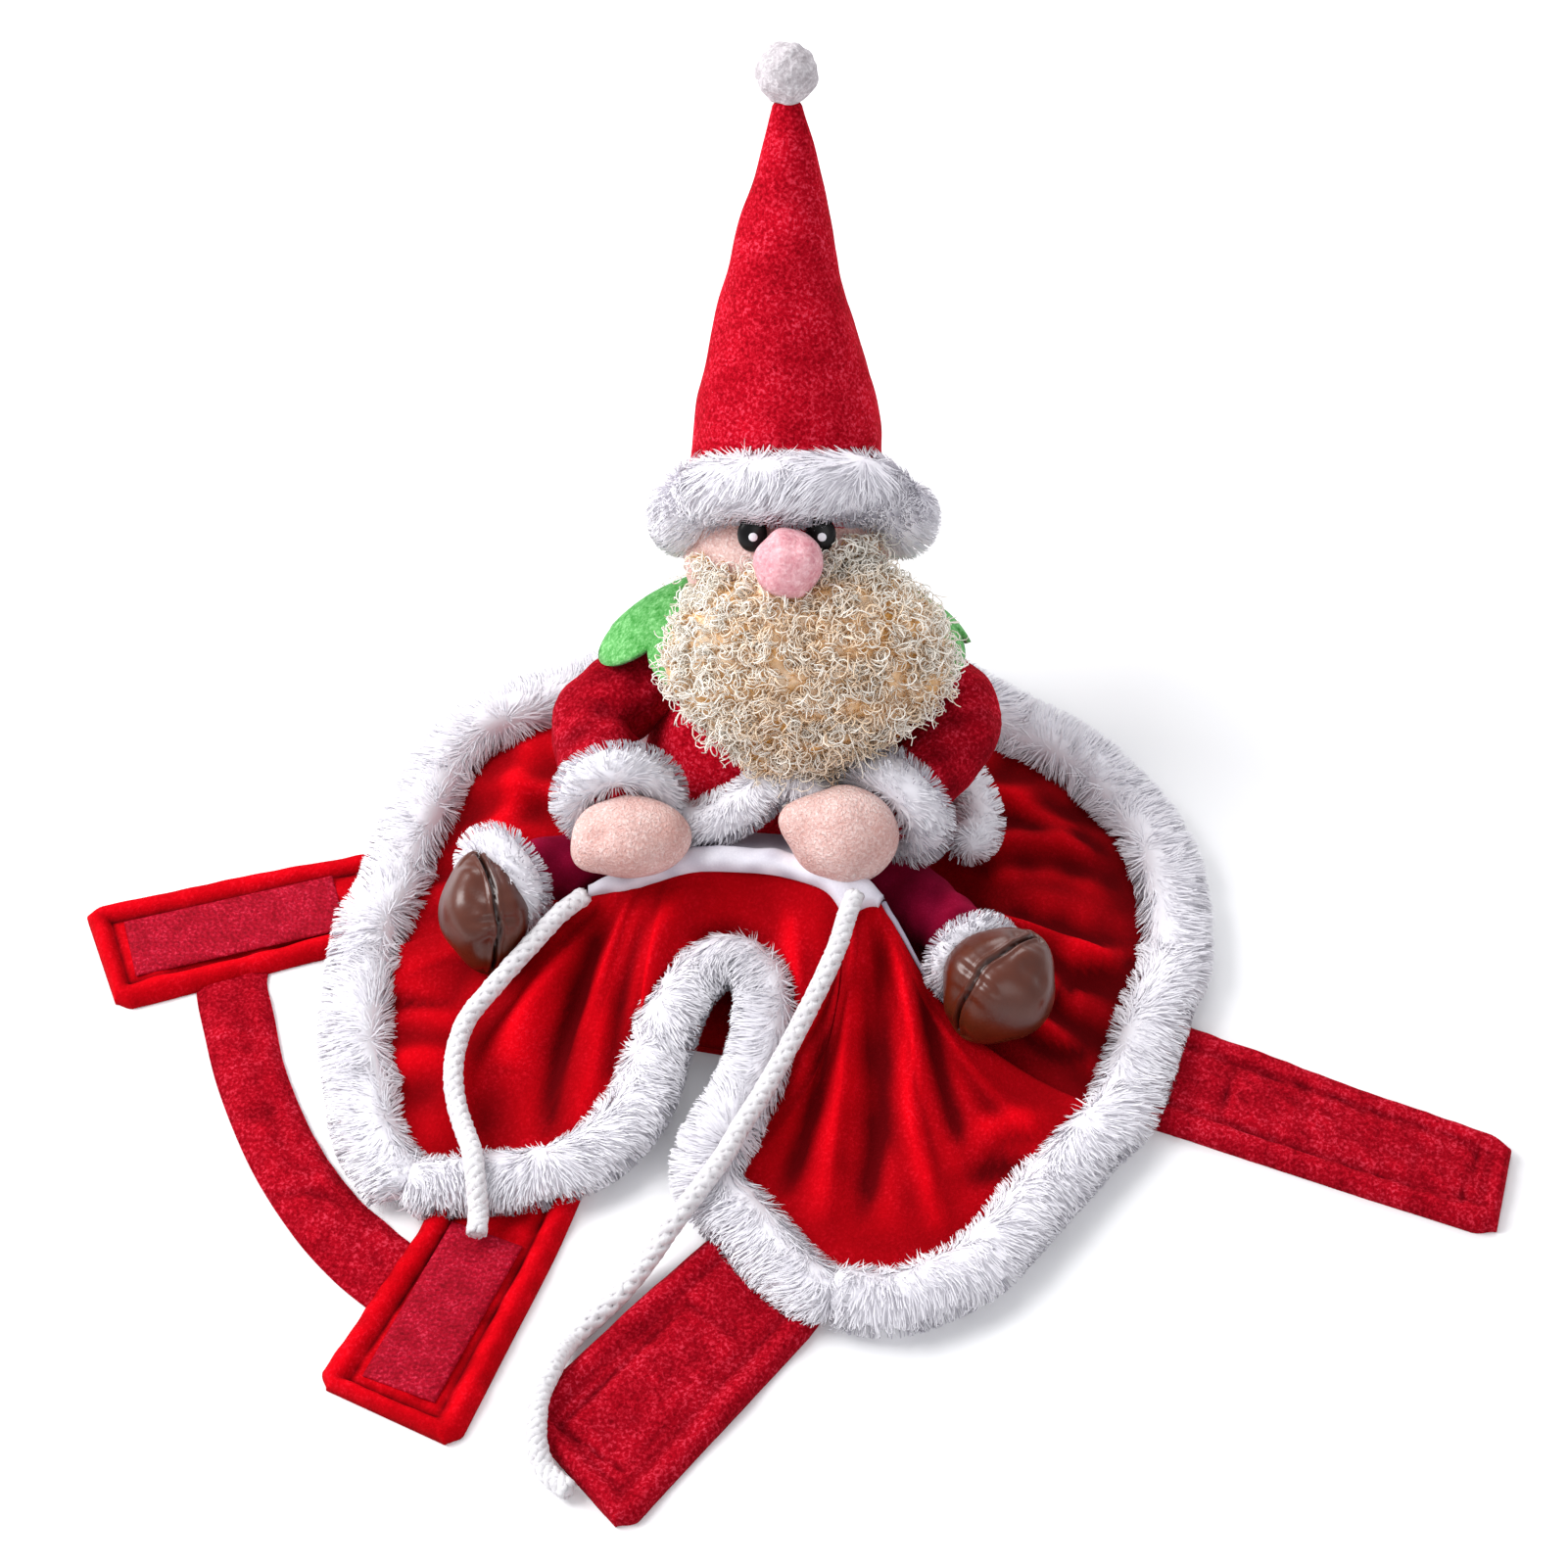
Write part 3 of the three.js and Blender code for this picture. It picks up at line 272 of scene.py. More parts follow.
@dataclass
class Tube:
    """A soft roll: centres with two directions and two half sizes, sampled along its length."""

    centre: Array
    side: Array
    rise: Array
    half_side: Array
    half_rise: Array
    closed: bool = False

    @classmethod
    def through(cls, rows: Sequence, closed: bool = False, samples: int = 400) -> "Tube":
        """Tube through stations.

        Args:
            rows: x, y, z, half size to the side and half size upwards of each station.
            closed: whether the last station leads back to the first.
            samples: number of samples along the tube.

        Returns:
            The tube.
        """
        rows = np.asarray(rows, float)
        last = len(rows) if closed else len(rows) - 1
        place = np.linspace(0, last, samples)
        data = smooth_rows(rows, place, closed)
        step = 0.01
        low, high = place - step, place + step
        if not closed:
            low, high = np.maximum(low, 0), np.minimum(high, last)
        ahead = unit(smooth_rows(rows, high, closed)[:, :3] - smooth_rows(rows, low, closed)[:, :3])
        side = unit(np.stack([ahead[:, 1], -ahead[:, 0], np.zeros(samples)], -1))
        return cls(data[:, :3], side, np.cross(side, ahead), data[:, 3], data[:, 4], closed)

    @classmethod
    def ring(cls, centre: Array, axis: Array, radius: float, half: float, samples: int = 160) -> "Tube":
        """A closed ring round an axis.

        Args:
            centre: middle of the ring.
            axis: direction of the limb that it goes round.
            radius: of the ring's middle line.
            half: half the thickness of the ring.
            samples: number of samples round it.

        Returns:
            The tube.
        """
        axis = unit(np.asarray(axis, float))
        across = unit(np.cross(axis, [0.1, 0.2, 1.0]))
        other = np.cross(axis, across)
        angle = np.linspace(0, TURN, samples)[:, None]
        out = np.cos(angle) * across + np.sin(angle) * other
        rise = np.repeat(axis[None], samples, 0)
        size = np.full(samples, half)
        return cls(np.asarray(centre, float) + out * radius, out, rise, size, size.copy(), True)

    def read(self, share: Array) -> tuple[Array, Array, Array, Array, Array]:
        """Reads the tube between its samples.

        Args:
            share: shares of the length from 0 to 1.

        Returns:
            Centre, side, rise and both half sizes at each share.
        """
        place = np.asarray(share) * (len(self.centre) - 1)
        low = np.clip(np.floor(place).astype(int), 0, len(self.centre) - 2)
        f = place - low
        mix = lambda data: data[low] + (data[low + 1] - data[low]) * (f[:, None] if data.ndim > 1 else f)
        sizes = mix(self.half_side), mix(self.half_rise)
        return (mix(self.centre), unit(mix(self.side)), unit(mix(self.rise)), *sizes)

    def even(self, count: int, rng: np.random.Generator) -> Array:
        """Random shares that are evenly spread over the length.

        Args:
            count: how many.
            rng: gives the random draws.

        Returns:
            The shares.
        """
        steps = np.linalg.norm(np.diff(self.centre, axis=0), axis=1)
        length = np.concatenate([[0], np.cumsum(steps)])
        return np.interp(rng.uniform(0, length[-1], count), length, np.linspace(0, 1, len(length)))

    def surface(self, share: Array, angle: Array, scale: float = 1.0) -> tuple[Array, Array]:
        """Points on the roll.

        Args:
            share: shares of the length.
            angle: angles round the roll.
            scale: share of the full half sizes.

        Returns:
            The points and the directions away from the roll.
        """
        centre, side, rise, a, b = self.read(share)
        cos, sin = np.cos(angle)[:, None], np.sin(angle)[:, None]
        a, b = a[:, None], b[:, None]
        return centre + scale * (side * cos * a + rise * sin * b), unit(side * cos / a + rise * sin / b)

    def shape(
        self,
        along: int,
        around: int,
        scale: float = 1.0,
        push: Optional[Callable[[Array, Array, Array, Array], Array]] = None,
        ends: int = 7,
    ) -> Shape:
        """Closed mesh of the roll.

        Args:
            along: number of steps along the length.
            around: number of points round it.
            scale: share of the full half sizes.
            push: height above the surface from points, normals, shares and angles.
            ends: number of rings in each rounded end.

        Returns:
            The shape.
        """
        share = np.linspace(0, 1, along + 1)[: along if self.closed else along + 1]
        out = np.zeros(len(share))
        shrink = np.ones(len(share))
        if not self.closed:
            bend = np.linspace(1.5, 0.2, ends)
            share = np.concatenate([np.zeros(ends), share, np.ones(ends)])
            out = np.concatenate([-np.sin(bend), out, np.sin(bend[::-1])])
            shrink = np.concatenate([np.cos(bend), shrink, np.cos(bend[::-1])])
        angle = np.linspace(0, TURN, around, endpoint=False)
        many = np.repeat(share, around)
        turns = np.tile(angle, len(share))
        centre, side, rise, a, b = self.read(many)
        ahead = np.cross(rise, side)
        squeeze = np.repeat(shrink, around)[:, None] * scale
        cos, sin = np.cos(turns)[:, None], np.sin(turns)[:, None]
        points = centre + squeeze * (side * cos * a[:, None] + rise * sin * b[:, None])
        points += ahead * (np.repeat(out, around) * b * 0.6 * scale)[:, None]
        away = unit(side * cos / a[:, None] + rise * sin / b[:, None])
        if push is not None:
            points += away * push(points, away, many, turns)[:, None]
        rings = len(share)
        if not self.closed:
            return Shape(points, capped_faces(around, rings)).turned_out()
        k = np.arange(around)
        base = (rings - 1) * around
        seam = np.stack([base + k, base + (k + 1) % around, (k + 1) % around, k], -1)
        faces = grid_faces(around, rings, wrap=True) + [tuple(f) for f in seam.tolist()]
        return Shape(points, faces).turned_out()


@dataclass
class Ball:
    """A stuffed ball with three half sizes along three axes."""

    centre: Array
    half: Array
    axes: Array = field(default_factory=lambda: RIDER_AXES)

    def place(self, way: Array) -> tuple[Array, Array]:
        """Surface points and outward directions for unit directions in the ball's own axes."""
        return self.centre + (way * self.half) @ self.axes, unit((way / self.half) @ self.axes)

    def shape(self, rings: int, around: int, push: Optional[Callable[[Array], Array]] = None) -> Shape:
        """Closed mesh of the ball.

        Args:
            rings: rings from pole to pole.
            around: points in each ring.
            push: height above the surface for unit directions.

        Returns:
            The shape.
        """
        tilt = np.repeat(np.linspace(0.02, math.pi - 0.02, rings), around)
        turn = np.tile(np.linspace(0, TURN, around, endpoint=False), rings)
        way = np.stack([np.sin(tilt) * np.cos(turn), np.sin(tilt) * np.sin(turn), np.cos(tilt)], -1)
        points, away = self.place(way)
        if push is not None:
            points = points + away * push(way)[:, None]
        return Shape(points, capped_faces(around, rings)).turned_out()


# Finishes


def linear(code: str) -> tuple[float, float, float, float]:
    """Linear colour of an sRGB hex code such as #b0001a."""
    values = [int(code[i : i + 2], 16) / 255 for i in (1, 3, 5)]
    return (*[v / 12.92 if v <= 0.04045 else ((v + 0.055) / 1.055) ** 2.4 for v in values], 1.0)


def add_node(tree: bpy.types.NodeTree, kind: str, settings: dict, links: dict) -> bpy.types.Node:
    """Adds a node to a material.

    Args:
        tree: the material's node tree.
        kind: Blender's name of the node.
        settings: properties of the node and their values.
        links: inputs by name or number, each with a value or an output to link.

    Returns:
        The new node.
    """
    node = tree.nodes.new(kind)
    for key, value in settings.items():
        setattr(node, key, value)
    for key, value in links.items():
        if isinstance(value, bpy.types.NodeSocket):
            tree.links.new(value, node.inputs[key])
        else:
            node.inputs[key].default_value = value
    return node


def blend(tree: bpy.types.NodeTree, share: object, low: object, high: object) -> bpy.types.NodeSocket:
    """The mixed colour of a colour at share 0 and one at share 1."""
    return add_node(tree, "ShaderNodeMix", {"data_type": "RGBA"}, {0: share, 6: low, 7: high}).outputs[2]


def painted(tree: bpy.types.NodeTree) -> bpy.types.NodeSocket:
    """The shade that is painted on the points."""
    return add_node(tree, "ShaderNodeAttribute", {"attribute_name": "shade"}, {}).outputs["Fac"]


def inside(tree: bpy.types.NodeTree) -> bpy.types.NodeSocket:
    """Places on the piece, in metres."""
    return add_node(tree, "ShaderNodeTexCoord", {}, {}).outputs["Object"]


Blank = tuple[bpy.types.Material, bpy.types.NodeTree, bpy.types.Node]


def new_material(name: str, sockets: dict) -> Blank:
    """A new material.

    Args:
        name: of the material.
        sockets: values to set on its shader's own sockets.

    Returns:
        The material, its node tree and its shader.
    """
    material = bpy.data.materials.new(name)
    material.use_nodes = True
    shader = material.node_tree.nodes["Principled BSDF"]
    for key, value in sockets.items():
        shader.inputs[key].default_value = value
    return material, material.node_tree, shader


@dataclass(frozen=True)
class PileCloth:
    """Cloth with a soft pile: its look is a mottled colour, a fine nap, flecks and a sheen.

    Attributes:
        deep: painted shade in folds, mixed in where the points' painted shade is low; then base and bright
        for the mottling, and fleck for light specks on the pile ends, partly texture and partly painted
        highlight.
        nap: distance between two tufts of pile in millimetres, drawn no finer than shows.
        mottle: distance between two clouds of the mottling in millimetres.
        flecks: how strongly the light flecks show, partly painted highlight.
        grain: share of the nap in the mottling.
        gloss: specular level.
        depth: of the nap in millimetres.
        soft: weight of the light that passes under the surface.
    """

    name: str
    deep: str
    base: str
    bright: str
    fleck: str
    nap: float
    mottle: float
    flecks: float = 0.5
    grain: float = 0.25
    gloss: float = 0.03
    bump: float = 0.5
    depth: float = 0.3
    roughness: float = 0.9
    sheen: float = 0.6
    sheen_roughness: float = 0.4
    sheen_tint: str = "#ffffff"
    soft: float = 0.0

    def build(self) -> bpy.types.Material:
        """Builds the material.

        Returns:
            The material, ready to use.
        """
        material, tree, shader = new_material(self.name, {
            "Roughness": self.roughness,
            "Sheen Weight": self.sheen,
            "Sheen Roughness": self.sheen_roughness,
            "Sheen Tint": linear(self.sheen_tint),
            "Specular IOR Level": self.gloss,
            "Subsurface Weight": self.soft,
            "Subsurface Radius": (0.006, 0.003, 0.002),
            "Subsurface Scale": 1.0,
        })
        where = inside(tree)
        broad = add_node(tree, "ShaderNodeTexNoise", {}, {
            "Vector": where, "Scale": 1 / (self.mottle * MM), "Detail": 3.0})
        fine = add_node(tree, "ShaderNodeTexNoise", {}, {
            "Vector": where, "Scale": 1 / (self.nap * MM),
            "Detail": 2.0, "Roughness": 0.6, "Distortion": 0.4})
        mixed = add_node(tree, "ShaderNodeMix", {}, {
            0: self.grain, 2: broad.outputs["Fac"], 3: fine.outputs["Fac"]})
        spread = add_node(tree, "ShaderNodeMapRange", {}, {
            "Value": mixed.outputs[0], "From Min": 0.36, "From Max": 0.64})
        colour = blend(tree, spread.outputs["Result"], linear(self.base), linear(self.bright))
        # Painted shade: the points' shade mixes the deep colour in, dark in the folds and troughs.
        shade = painted(tree)
        shaded = blend(tree, shade, linear(self.deep), colour)
        # Light flecks on the pile ends: sparse specks, partly texture and partly painted highlight, weighted
        # by the painted shade so that they gather on the crests.
        sparse = add_node(tree, "ShaderNodeMapRange", {}, {
            "Value": fine.outputs["Fac"], "From Min": 0.52, "From Max": 0.7, "To Max": self.flecks})
        patches = add_node(tree, "ShaderNodeMapRange", {}, {
            "Value": broad.outputs["Fac"], "From Min": 0.42, "From Max": 0.62, "To Min": 0.25})
        lit = add_node(tree, "ShaderNodeMath", {"operation": "MULTIPLY"}, {
            0: sparse.outputs["Result"], 1: patches.outputs["Result"]})
        raised = add_node(tree, "ShaderNodeMath", {"operation": "MULTIPLY"}, {
            0: lit.outputs["Value"], 1: shade})
        fleck_and_highlight_colour = blend(tree, raised.outputs["Value"], shaded, linear(self.fleck))
        bump = add_node(tree, "ShaderNodeBump", {}, {
            "Height": fine.outputs["Fac"], "Strength": self.bump, "Distance": self.depth * MM})
        tree.links.new(fleck_and_highlight_colour, shader.inputs["Base Color"])
        tree.links.new(bump.outputs["Normal"], shader.inputs["Normal"])
        return material


@dataclass(frozen=True)
class FurFibre:
    """Acrylic or wool fibre: darker at its root, where painted shade deep in the pile goes, lighter and a
    little glossy at its tip.
    """

    name: str
    root: str
    tip: str
    roughness: float = 0.7
    sheen: float = 0.0
    gloss: float = 0.12

    def build(self) -> bpy.types.Material:
        """Builds the material, whose colour follows the points' shade from root to tip.

        Returns:
            The material.
        """
        material, tree, shader = new_material(self.name, {
            "Roughness": self.roughness,
            "Sheen Weight": self.sheen,
            "Sheen Roughness": 0.5,
            "Specular IOR Level": self.gloss,
        })
        colour = blend(tree, painted(tree), linear(self.root), linear(self.tip))
        tree.links.new(colour, shader.inputs["Base Color"])
        return material


@dataclass(frozen=True)
class Leatherette:
    """Coated cloth: smooth and glossy with a faint grain and lighter worn patches in soft random clouds."""

    name: str
    deep: str
    base: str
    worn: str

    def build(self) -> bpy.types.Material:
        """Builds the material, with a grain of about a millimetre.

        Returns:
            The material.
        """
        material, tree, shader = new_material(self.name, {
            "Roughness": 0.33, "Specular IOR Level": 0.5, "Coat Weight": 0.15, "Coat Roughness": 0.2})
        where = inside(tree)
        cloud = add_node(tree, "ShaderNodeTexNoise", {}, {"Vector": where, "Scale": 90.0, "Detail": 3.0})
        grain = add_node(tree, "ShaderNodeTexVoronoi", {}, {"Vector": where, "Scale": 900.0})
        mottled = blend(tree, cloud.outputs["Fac"], linear(self.base), linear(self.worn))
        colour = blend(tree, painted(tree), linear(self.deep), mottled)
        bump = add_node(tree, "ShaderNodeBump", {}, {
            "Height": grain.outputs["Distance"], "Strength": 0.12, "Distance": 0.2 * MM})
        tree.links.new(colour, shader.inputs["Base Color"])
        tree.links.new(bump.outputs["Normal"], shader.inputs["Normal"])
        return material


@dataclass(frozen=True)
class MouldedPlastic:
    """Moulded plastic of the eyes: even, with a tight highlight."""

    name: str
    base: str
    roughness: float

    def build(self) -> bpy.types.Material:
        """Builds the material, with faint marks of polishing.

        Returns:
            The material.
        """
        material, tree, shader = new_material(self.name, {
            "Roughness": self.roughness, "Specular IOR Level": 0.25})
        where = inside(tree)
        marks = add_node(tree, "ShaderNodeTexNoise", {}, {"Vector": where, "Scale": 600.0})
        rubbed = tuple(min(1.0, c * 1.3 + 0.002) for c in linear(self.base))
        colour = blend(tree, marks.outputs["Fac"], linear(self.base), rubbed)
        tree.links.new(colour, shader.inputs["Base Color"])
        return material


CAPE_VELVET = PileCloth(
    # Short-pile polyester velvet: deep saturated red, with painted shade almost black in its folds, light
    # flecks partly painted highlight, and a bright soft edge
    "cape_velvet", deep="#440003", base="#c0000c", bright="#e00214", fleck="#f4283e", nap=1.1, mottle=26,
    flecks=0.35, grain=0.4, bump=0.7, depth=0.4, roughness=0.85, sheen=0.16, sheen_roughness=0.3,
    sheen_tint="#ff1020")
SUIT_PLUSH = PileCloth(
    # Coral fleece: the same red a little pinker, with painted shade in its folds and fine light specks on the
    # pile ends, partly texture and partly painted highlight
    "suit_plush", deep="#440006", base="#86020f", bright="#cc0c24", fleck="#e4506a", nap=1.15, mottle=14,
    flecks=0.6, grain=0.65, bump=1.0, depth=0.4, roughness=0.9, sheen=0.25, sheen_roughness=0.35,
    sheen_tint="#ff2840")
CRIMSON_FELT = PileCloth(
    # Needled felt: flat wine red with a short matted surface
    "crimson_felt", deep="#300010", base="#780424", bright="#8c0a30", fleck="#b02850", nap=0.5, mottle=9,
    flecks=0.3, bump=0.4, depth=0.25, roughness=0.95, sheen=0.15, sheen_tint="#ff4070")
GREEN_FELT = PileCloth(
    # Craft felt: fresh green with lighter and darker matted fibres
    "green_felt", deep="#1c6a1c", base="#3c8e3a", bright="#84ca7e", fleck="#b0e2a8", nap=1.1, mottle=3.5,
    flecks=0.5, grain=0.5, bump=0.9, depth=0.4, roughness=0.95, sheen=0.1)
SKIN_PLUSH = PileCloth(
    # Brushed terry: pale rosy peach with a tiny looped grain
    "skin_plush", deep="#a8686a", base="#d4a49c", bright="#efd0ca", fleck="#fbe8e4", nap=1.0, mottle=12,
    flecks=0.8, grain=0.55, bump=1.0, depth=1.1, roughness=0.95, sheen=0.1, soft=0.06)
NOSE_FELT = PileCloth(
    # Felted plush ball: cool pink, cloudy, with short fuzz
    "nose_felt", deep="#c07480", base="#ce8690", bright="#eebac0", fleck="#f8d2d6", nap=1.3, mottle=6,
    flecks=0.6, grain=0.5, bump=1.0, depth=0.5, roughness=0.95, sheen=0.1, soft=0.06)
WHITE_LINING = PileCloth(
    # Plain woven polyester lining: cool white, with faint lilac painted shade in its folds
    "white_lining", deep="#9d95a6", base="#dcd9e3", bright="#e9e7f0", fleck="#f8f6fc", nap=0.6, mottle=20,
    flecks=0.3, bump=0.25, depth=0.15, roughness=0.75, sheen=0.05)
COTTON_BRAID = PileCloth(
    # Soft cotton cord: off-white yarns, with grey painted shade between the plaits
    "cotton_braid", deep="#a8a2a8", base="#d6d3d6", bright="#e4e2e4", fleck="#f4f3f4", nap=0.5, mottle=5,
    flecks=0.3, bump=0.6, depth=0.2, roughness=0.85, sheen=0.05)
TAPE_NYLON = PileCloth(
    # Woven nylon loop tape: raspberry red with pale glints on its loops
    "tape_nylon", deep="#58020f", base="#8c0418", bright="#ba0a2a", fleck="#e04460", nap=1.0, mottle=7,
    flecks=0.6, grain=0.6, bump=0.9, depth=0.3, gloss=0.06, roughness=0.7, sheen=0.05, sheen_tint="#ff4060")
POMPOM_FELT = PileCloth(
    # Felted wool ball: matt warm white, painted grey all over to stand for its shade
    "pompom_felt", deep="#8c868c", base="#a8a0a4", bright="#d2ccd0", fleck="#f0edee", nap=1.2, mottle=5,
    flecks=0.5, grain=0.6, bump=1.0, depth=0.6, roughness=0.95, sheen=0.1)
WHITE_FUR = FurFibre(
    # Acrylic long-pile fur: white, with painted lilac-grey shade towards the roots
    "white_fur", root="#dad7e0", tip="#eae8ed")
CURLED_WOOL = FurFibre(
    # Crimped wool-like fibre: honey at the roots, partly its own tone and partly painted shade in the depth,
    # glossy cream at the loops
    "curled_wool", root="#f0b458", tip="#fffaf0", roughness=0.28, sheen=0.0, gloss=0.7)
BROWN_LEATHERETTE = Leatherette("brown_leatherette", deep="#0e0603", base="#401608", worn="#622810")
EYE_BLACK = MouldedPlastic("eye_black", "#060607", 0.3)
# Painted reflection: the pale disc in front of each eye stands for the lamp's glint on the glossy plastic.
EYE_PAINTED_GLINT = MouldedPlastic("eye_dot", "#dcdce2", 0.4)

FINISHES: dict[str, bpy.types.Material] = {}


def finish(kind: PileCloth | FurFibre | Leatherette | MouldedPlastic) -> bpy.types.Material:
    """Gives the material of a finish, which is made once.

    Args:
        kind: the finish.

    Returns:
        Its material.
    """
    if kind.name not in FINISHES:
        FINISHES[kind.name] = kind.build()
    return FINISHES[kind.name]


# Fur and curls as real fibres


@dataclass(frozen=True)
class FurCut:
    """How a fur is cut and combed, in millimetres.

    Attributes:
        length: of a fibre.
        width: of a tuft of fibres at its root.
        lift: how far a tuft stands away from the cloth, 0 flat and 1 upright.
        ruffle: unevenness of the directions.
        clump: distance between the centres of clumps.
        gather: how much the tips of a clump run together, 0 to 1.
        swirl: distance over which the combing turns.
    """

    length: float
    width: float
    lift: float
    ruffle: float
    clump: float
    gather: float
    swirl: float


HEM_CUT = FurCut(length=7.5, width=0.45, lift=0.34, ruffle=0.18, clump=3.2, gather=0.22, swirl=18)
BRIM_CUT = FurCut(length=10.5, width=0.45, lift=0.24, ruffle=0.16, clump=3.6, gather=0.22, swirl=24)
SHORT_CUT = FurCut(length=5.5, width=0.45, lift=0.42, ruffle=0.22, clump=2.6, gather=0.25, swirl=14)
# Share of the length and share of the width at the three pairs of points of a tuft
RIBBON = ((0.0, 1.0), (0.4, 0.95), (0.75, 0.6))
RIBBON_POINTS = 7


def fibres(roots: Array, away: Array, comb: Array, cut: FurCut, seed: int, floor: float = 0.3) -> Shape:
    """Tapered ribbons, one for each tuft of fur.

    Args:
        roots: where the tufts start.
        away: directions away from the cloth.
        comb: directions along which the fur is combed.
        cut: sizes of the fur.
        seed: for the random draws.
        floor: lowest height that a tip may have.

    Returns:
        A shape with five triangles for each tuft.
    """
    rng = np.random.default_rng(seed)
    count = len(roots)
    drift = np.stack([waves(roots, cut.swirl, seed + k) for k in (1, 2, 3)], -1)
    ruffle = rng.normal(size=(count, 3)) * cut.ruffle * 0.45
    way = unit(away * cut.lift + comb * (1 - cut.lift) + drift * cut.ruffle + ruffle)
    inward = np.minimum((way * away).sum(1, keepdims=True) - 0.12, 0)
    way = unit(way - away * inward)
    length = cut.length * rng.uniform(0.72, 1.12, count)[:, None]
    tips = roots + way * length
    heads = rng.choice(count, max(8, int(count * 0.9 / cut.clump ** 2)), replace=False)
    pull = tips[heads][nearest_of(roots[heads], roots)] - tips
    reach = np.linalg.norm(pull, axis=1, keepdims=True)
    gather = cut.gather * rng.uniform(0.5, 1.2, (count, 1)) * np.minimum(1, 6 / (reach + 1e-6))
    tips = tips + pull * np.clip(gather, 0, 0.8)
    bow = comb * cut.length * 0.1 + rng.normal(size=(count, 3)) * cut.length * 0.05
    turned = unit(away + rng.normal(size=(count, 3)) * 0.5)
    way = unit(tips - roots)
    side = unit(np.cross(way, turned))
    side *= np.sign((np.cross(side, way) * away).sum(1, keepdims=True) + 1e-9)
    width = cut.width * rng.uniform(0.6, 1.3, (count, 1)) / 2
    rows = []
    shades = []
    tone = rng.uniform(0.9, 1.0, count)
    # Painted shade: each tuft is darker towards its root, where shade falls deep in the pile; its tone also
    # varies at random.
    for t, share in RIBBON:
        middle = roots + (tips - roots) * t + bow * (4 * t * (1 - t))
        rows += [middle - side * width * share, middle + side * width * share]
        shades += [tone * (0.6 + 0.4 * min(1, t * 1.6))] * 2
    rows.append(tips)
    shades.append(tone)
    points = np.stack(rows, 1)
    points[..., 2] = np.maximum(points[..., 2], floor)
    base = np.arange(count)[:, None] * RIBBON_POINTS
    faces = (0, 1, 3, 2), (2, 3, 5, 4), (4, 5, 6)
    ribbons = [tuple(f) for face in faces for f in (base + np.array(face)).tolist()]
    normals = np.repeat(unit(np.cross(side, way) * 0.5 + away), RIBBON_POINTS, 0)
    return Shape(points.reshape(-1, 3), ribbons, np.stack(shades, 1).ravel(), normals)


def scatter(shape: Shape, count: int, seed: int, shown: Array) -> tuple[Array, Array]:
    """Even random places on a shape's four-cornered faces.

    Args:
        shape: the shape.
        count: how many places.
        seed: for the random draws.
        shown: which of these faces take part, 1 or 0 for each.

    Returns:
        Places and outward directions.
    """
    rng = np.random.default_rng(seed)
    faces = np.array([f for f in shape.faces if len(f) == 4])
    corners = shape.points[faces]
    across, down = corners[:, 2] - corners[:, 0], corners[:, 3] - corners[:, 1]
    normal = np.cross(across, down)
    area = np.linalg.norm(normal, axis=1) / 2 * shown
    chosen = rng.choice(len(faces), count, p=area / area.sum())
    u, v = rng.uniform(size=(2, count, 1))
    picked = corners[chosen]
    near = picked[:, 0] * (1 - u) + picked[:, 1] * u
    far = picked[:, 3] * (1 - u) + picked[:, 2] * u
    return near * (1 - v) + far * v, unit(normal[chosen])


# The two reins: routes in metres, sizes in metres

REIN_DIAMETER = 0.007
REIN_LEFT = [
    (-0.054, -0.029, 0.031), (-0.060, -0.037, 0.030), (-0.065, -0.045, 0.027), (-0.071, -0.056, 0.024),
    (-0.077, -0.067, 0.0205), (-0.082, -0.077, 0.017), (-0.083, -0.088, 0.0145), (-0.081, -0.099, 0.013),
    (-0.077, -0.109, 0.012), (-0.072, -0.118, 0.013), (-0.067, -0.127, 0.0165), (-0.064, -0.134, 0.0175),
    (-0.061, -0.142, 0.015), (-0.059, -0.148, 0.0115), (-0.058, -0.154, 0.010),
]
REIN_RIGHT = [
    (0.037, -0.020, 0.043), (0.036, -0.028, 0.0415), (0.035, -0.038, 0.038), (0.032, -0.050, 0.0325),
    (0.028, -0.063, 0.0265), (0.024, -0.076, 0.0215), (0.020, -0.089, 0.0185), (0.016, -0.102, 0.017),
    (0.013, -0.114, 0.0165), (0.009, -0.126, 0.0165), (0.0035, -0.138, 0.0135), (-0.003, -0.151, 0.007),
    (-0.010, -0.165, 0.004), (-0.019, -0.181, 0.004), (-0.0215, -0.190, 0.0066), (-0.022, -0.199, 0.010),
    (-0.023, -0.208, 0.0104), (-0.022, -0.216, 0.0096), (-0.020, -0.223, 0.007), (-0.0155, -0.2295, 0.0043),
    (-0.008, -0.234, 0.004),
]


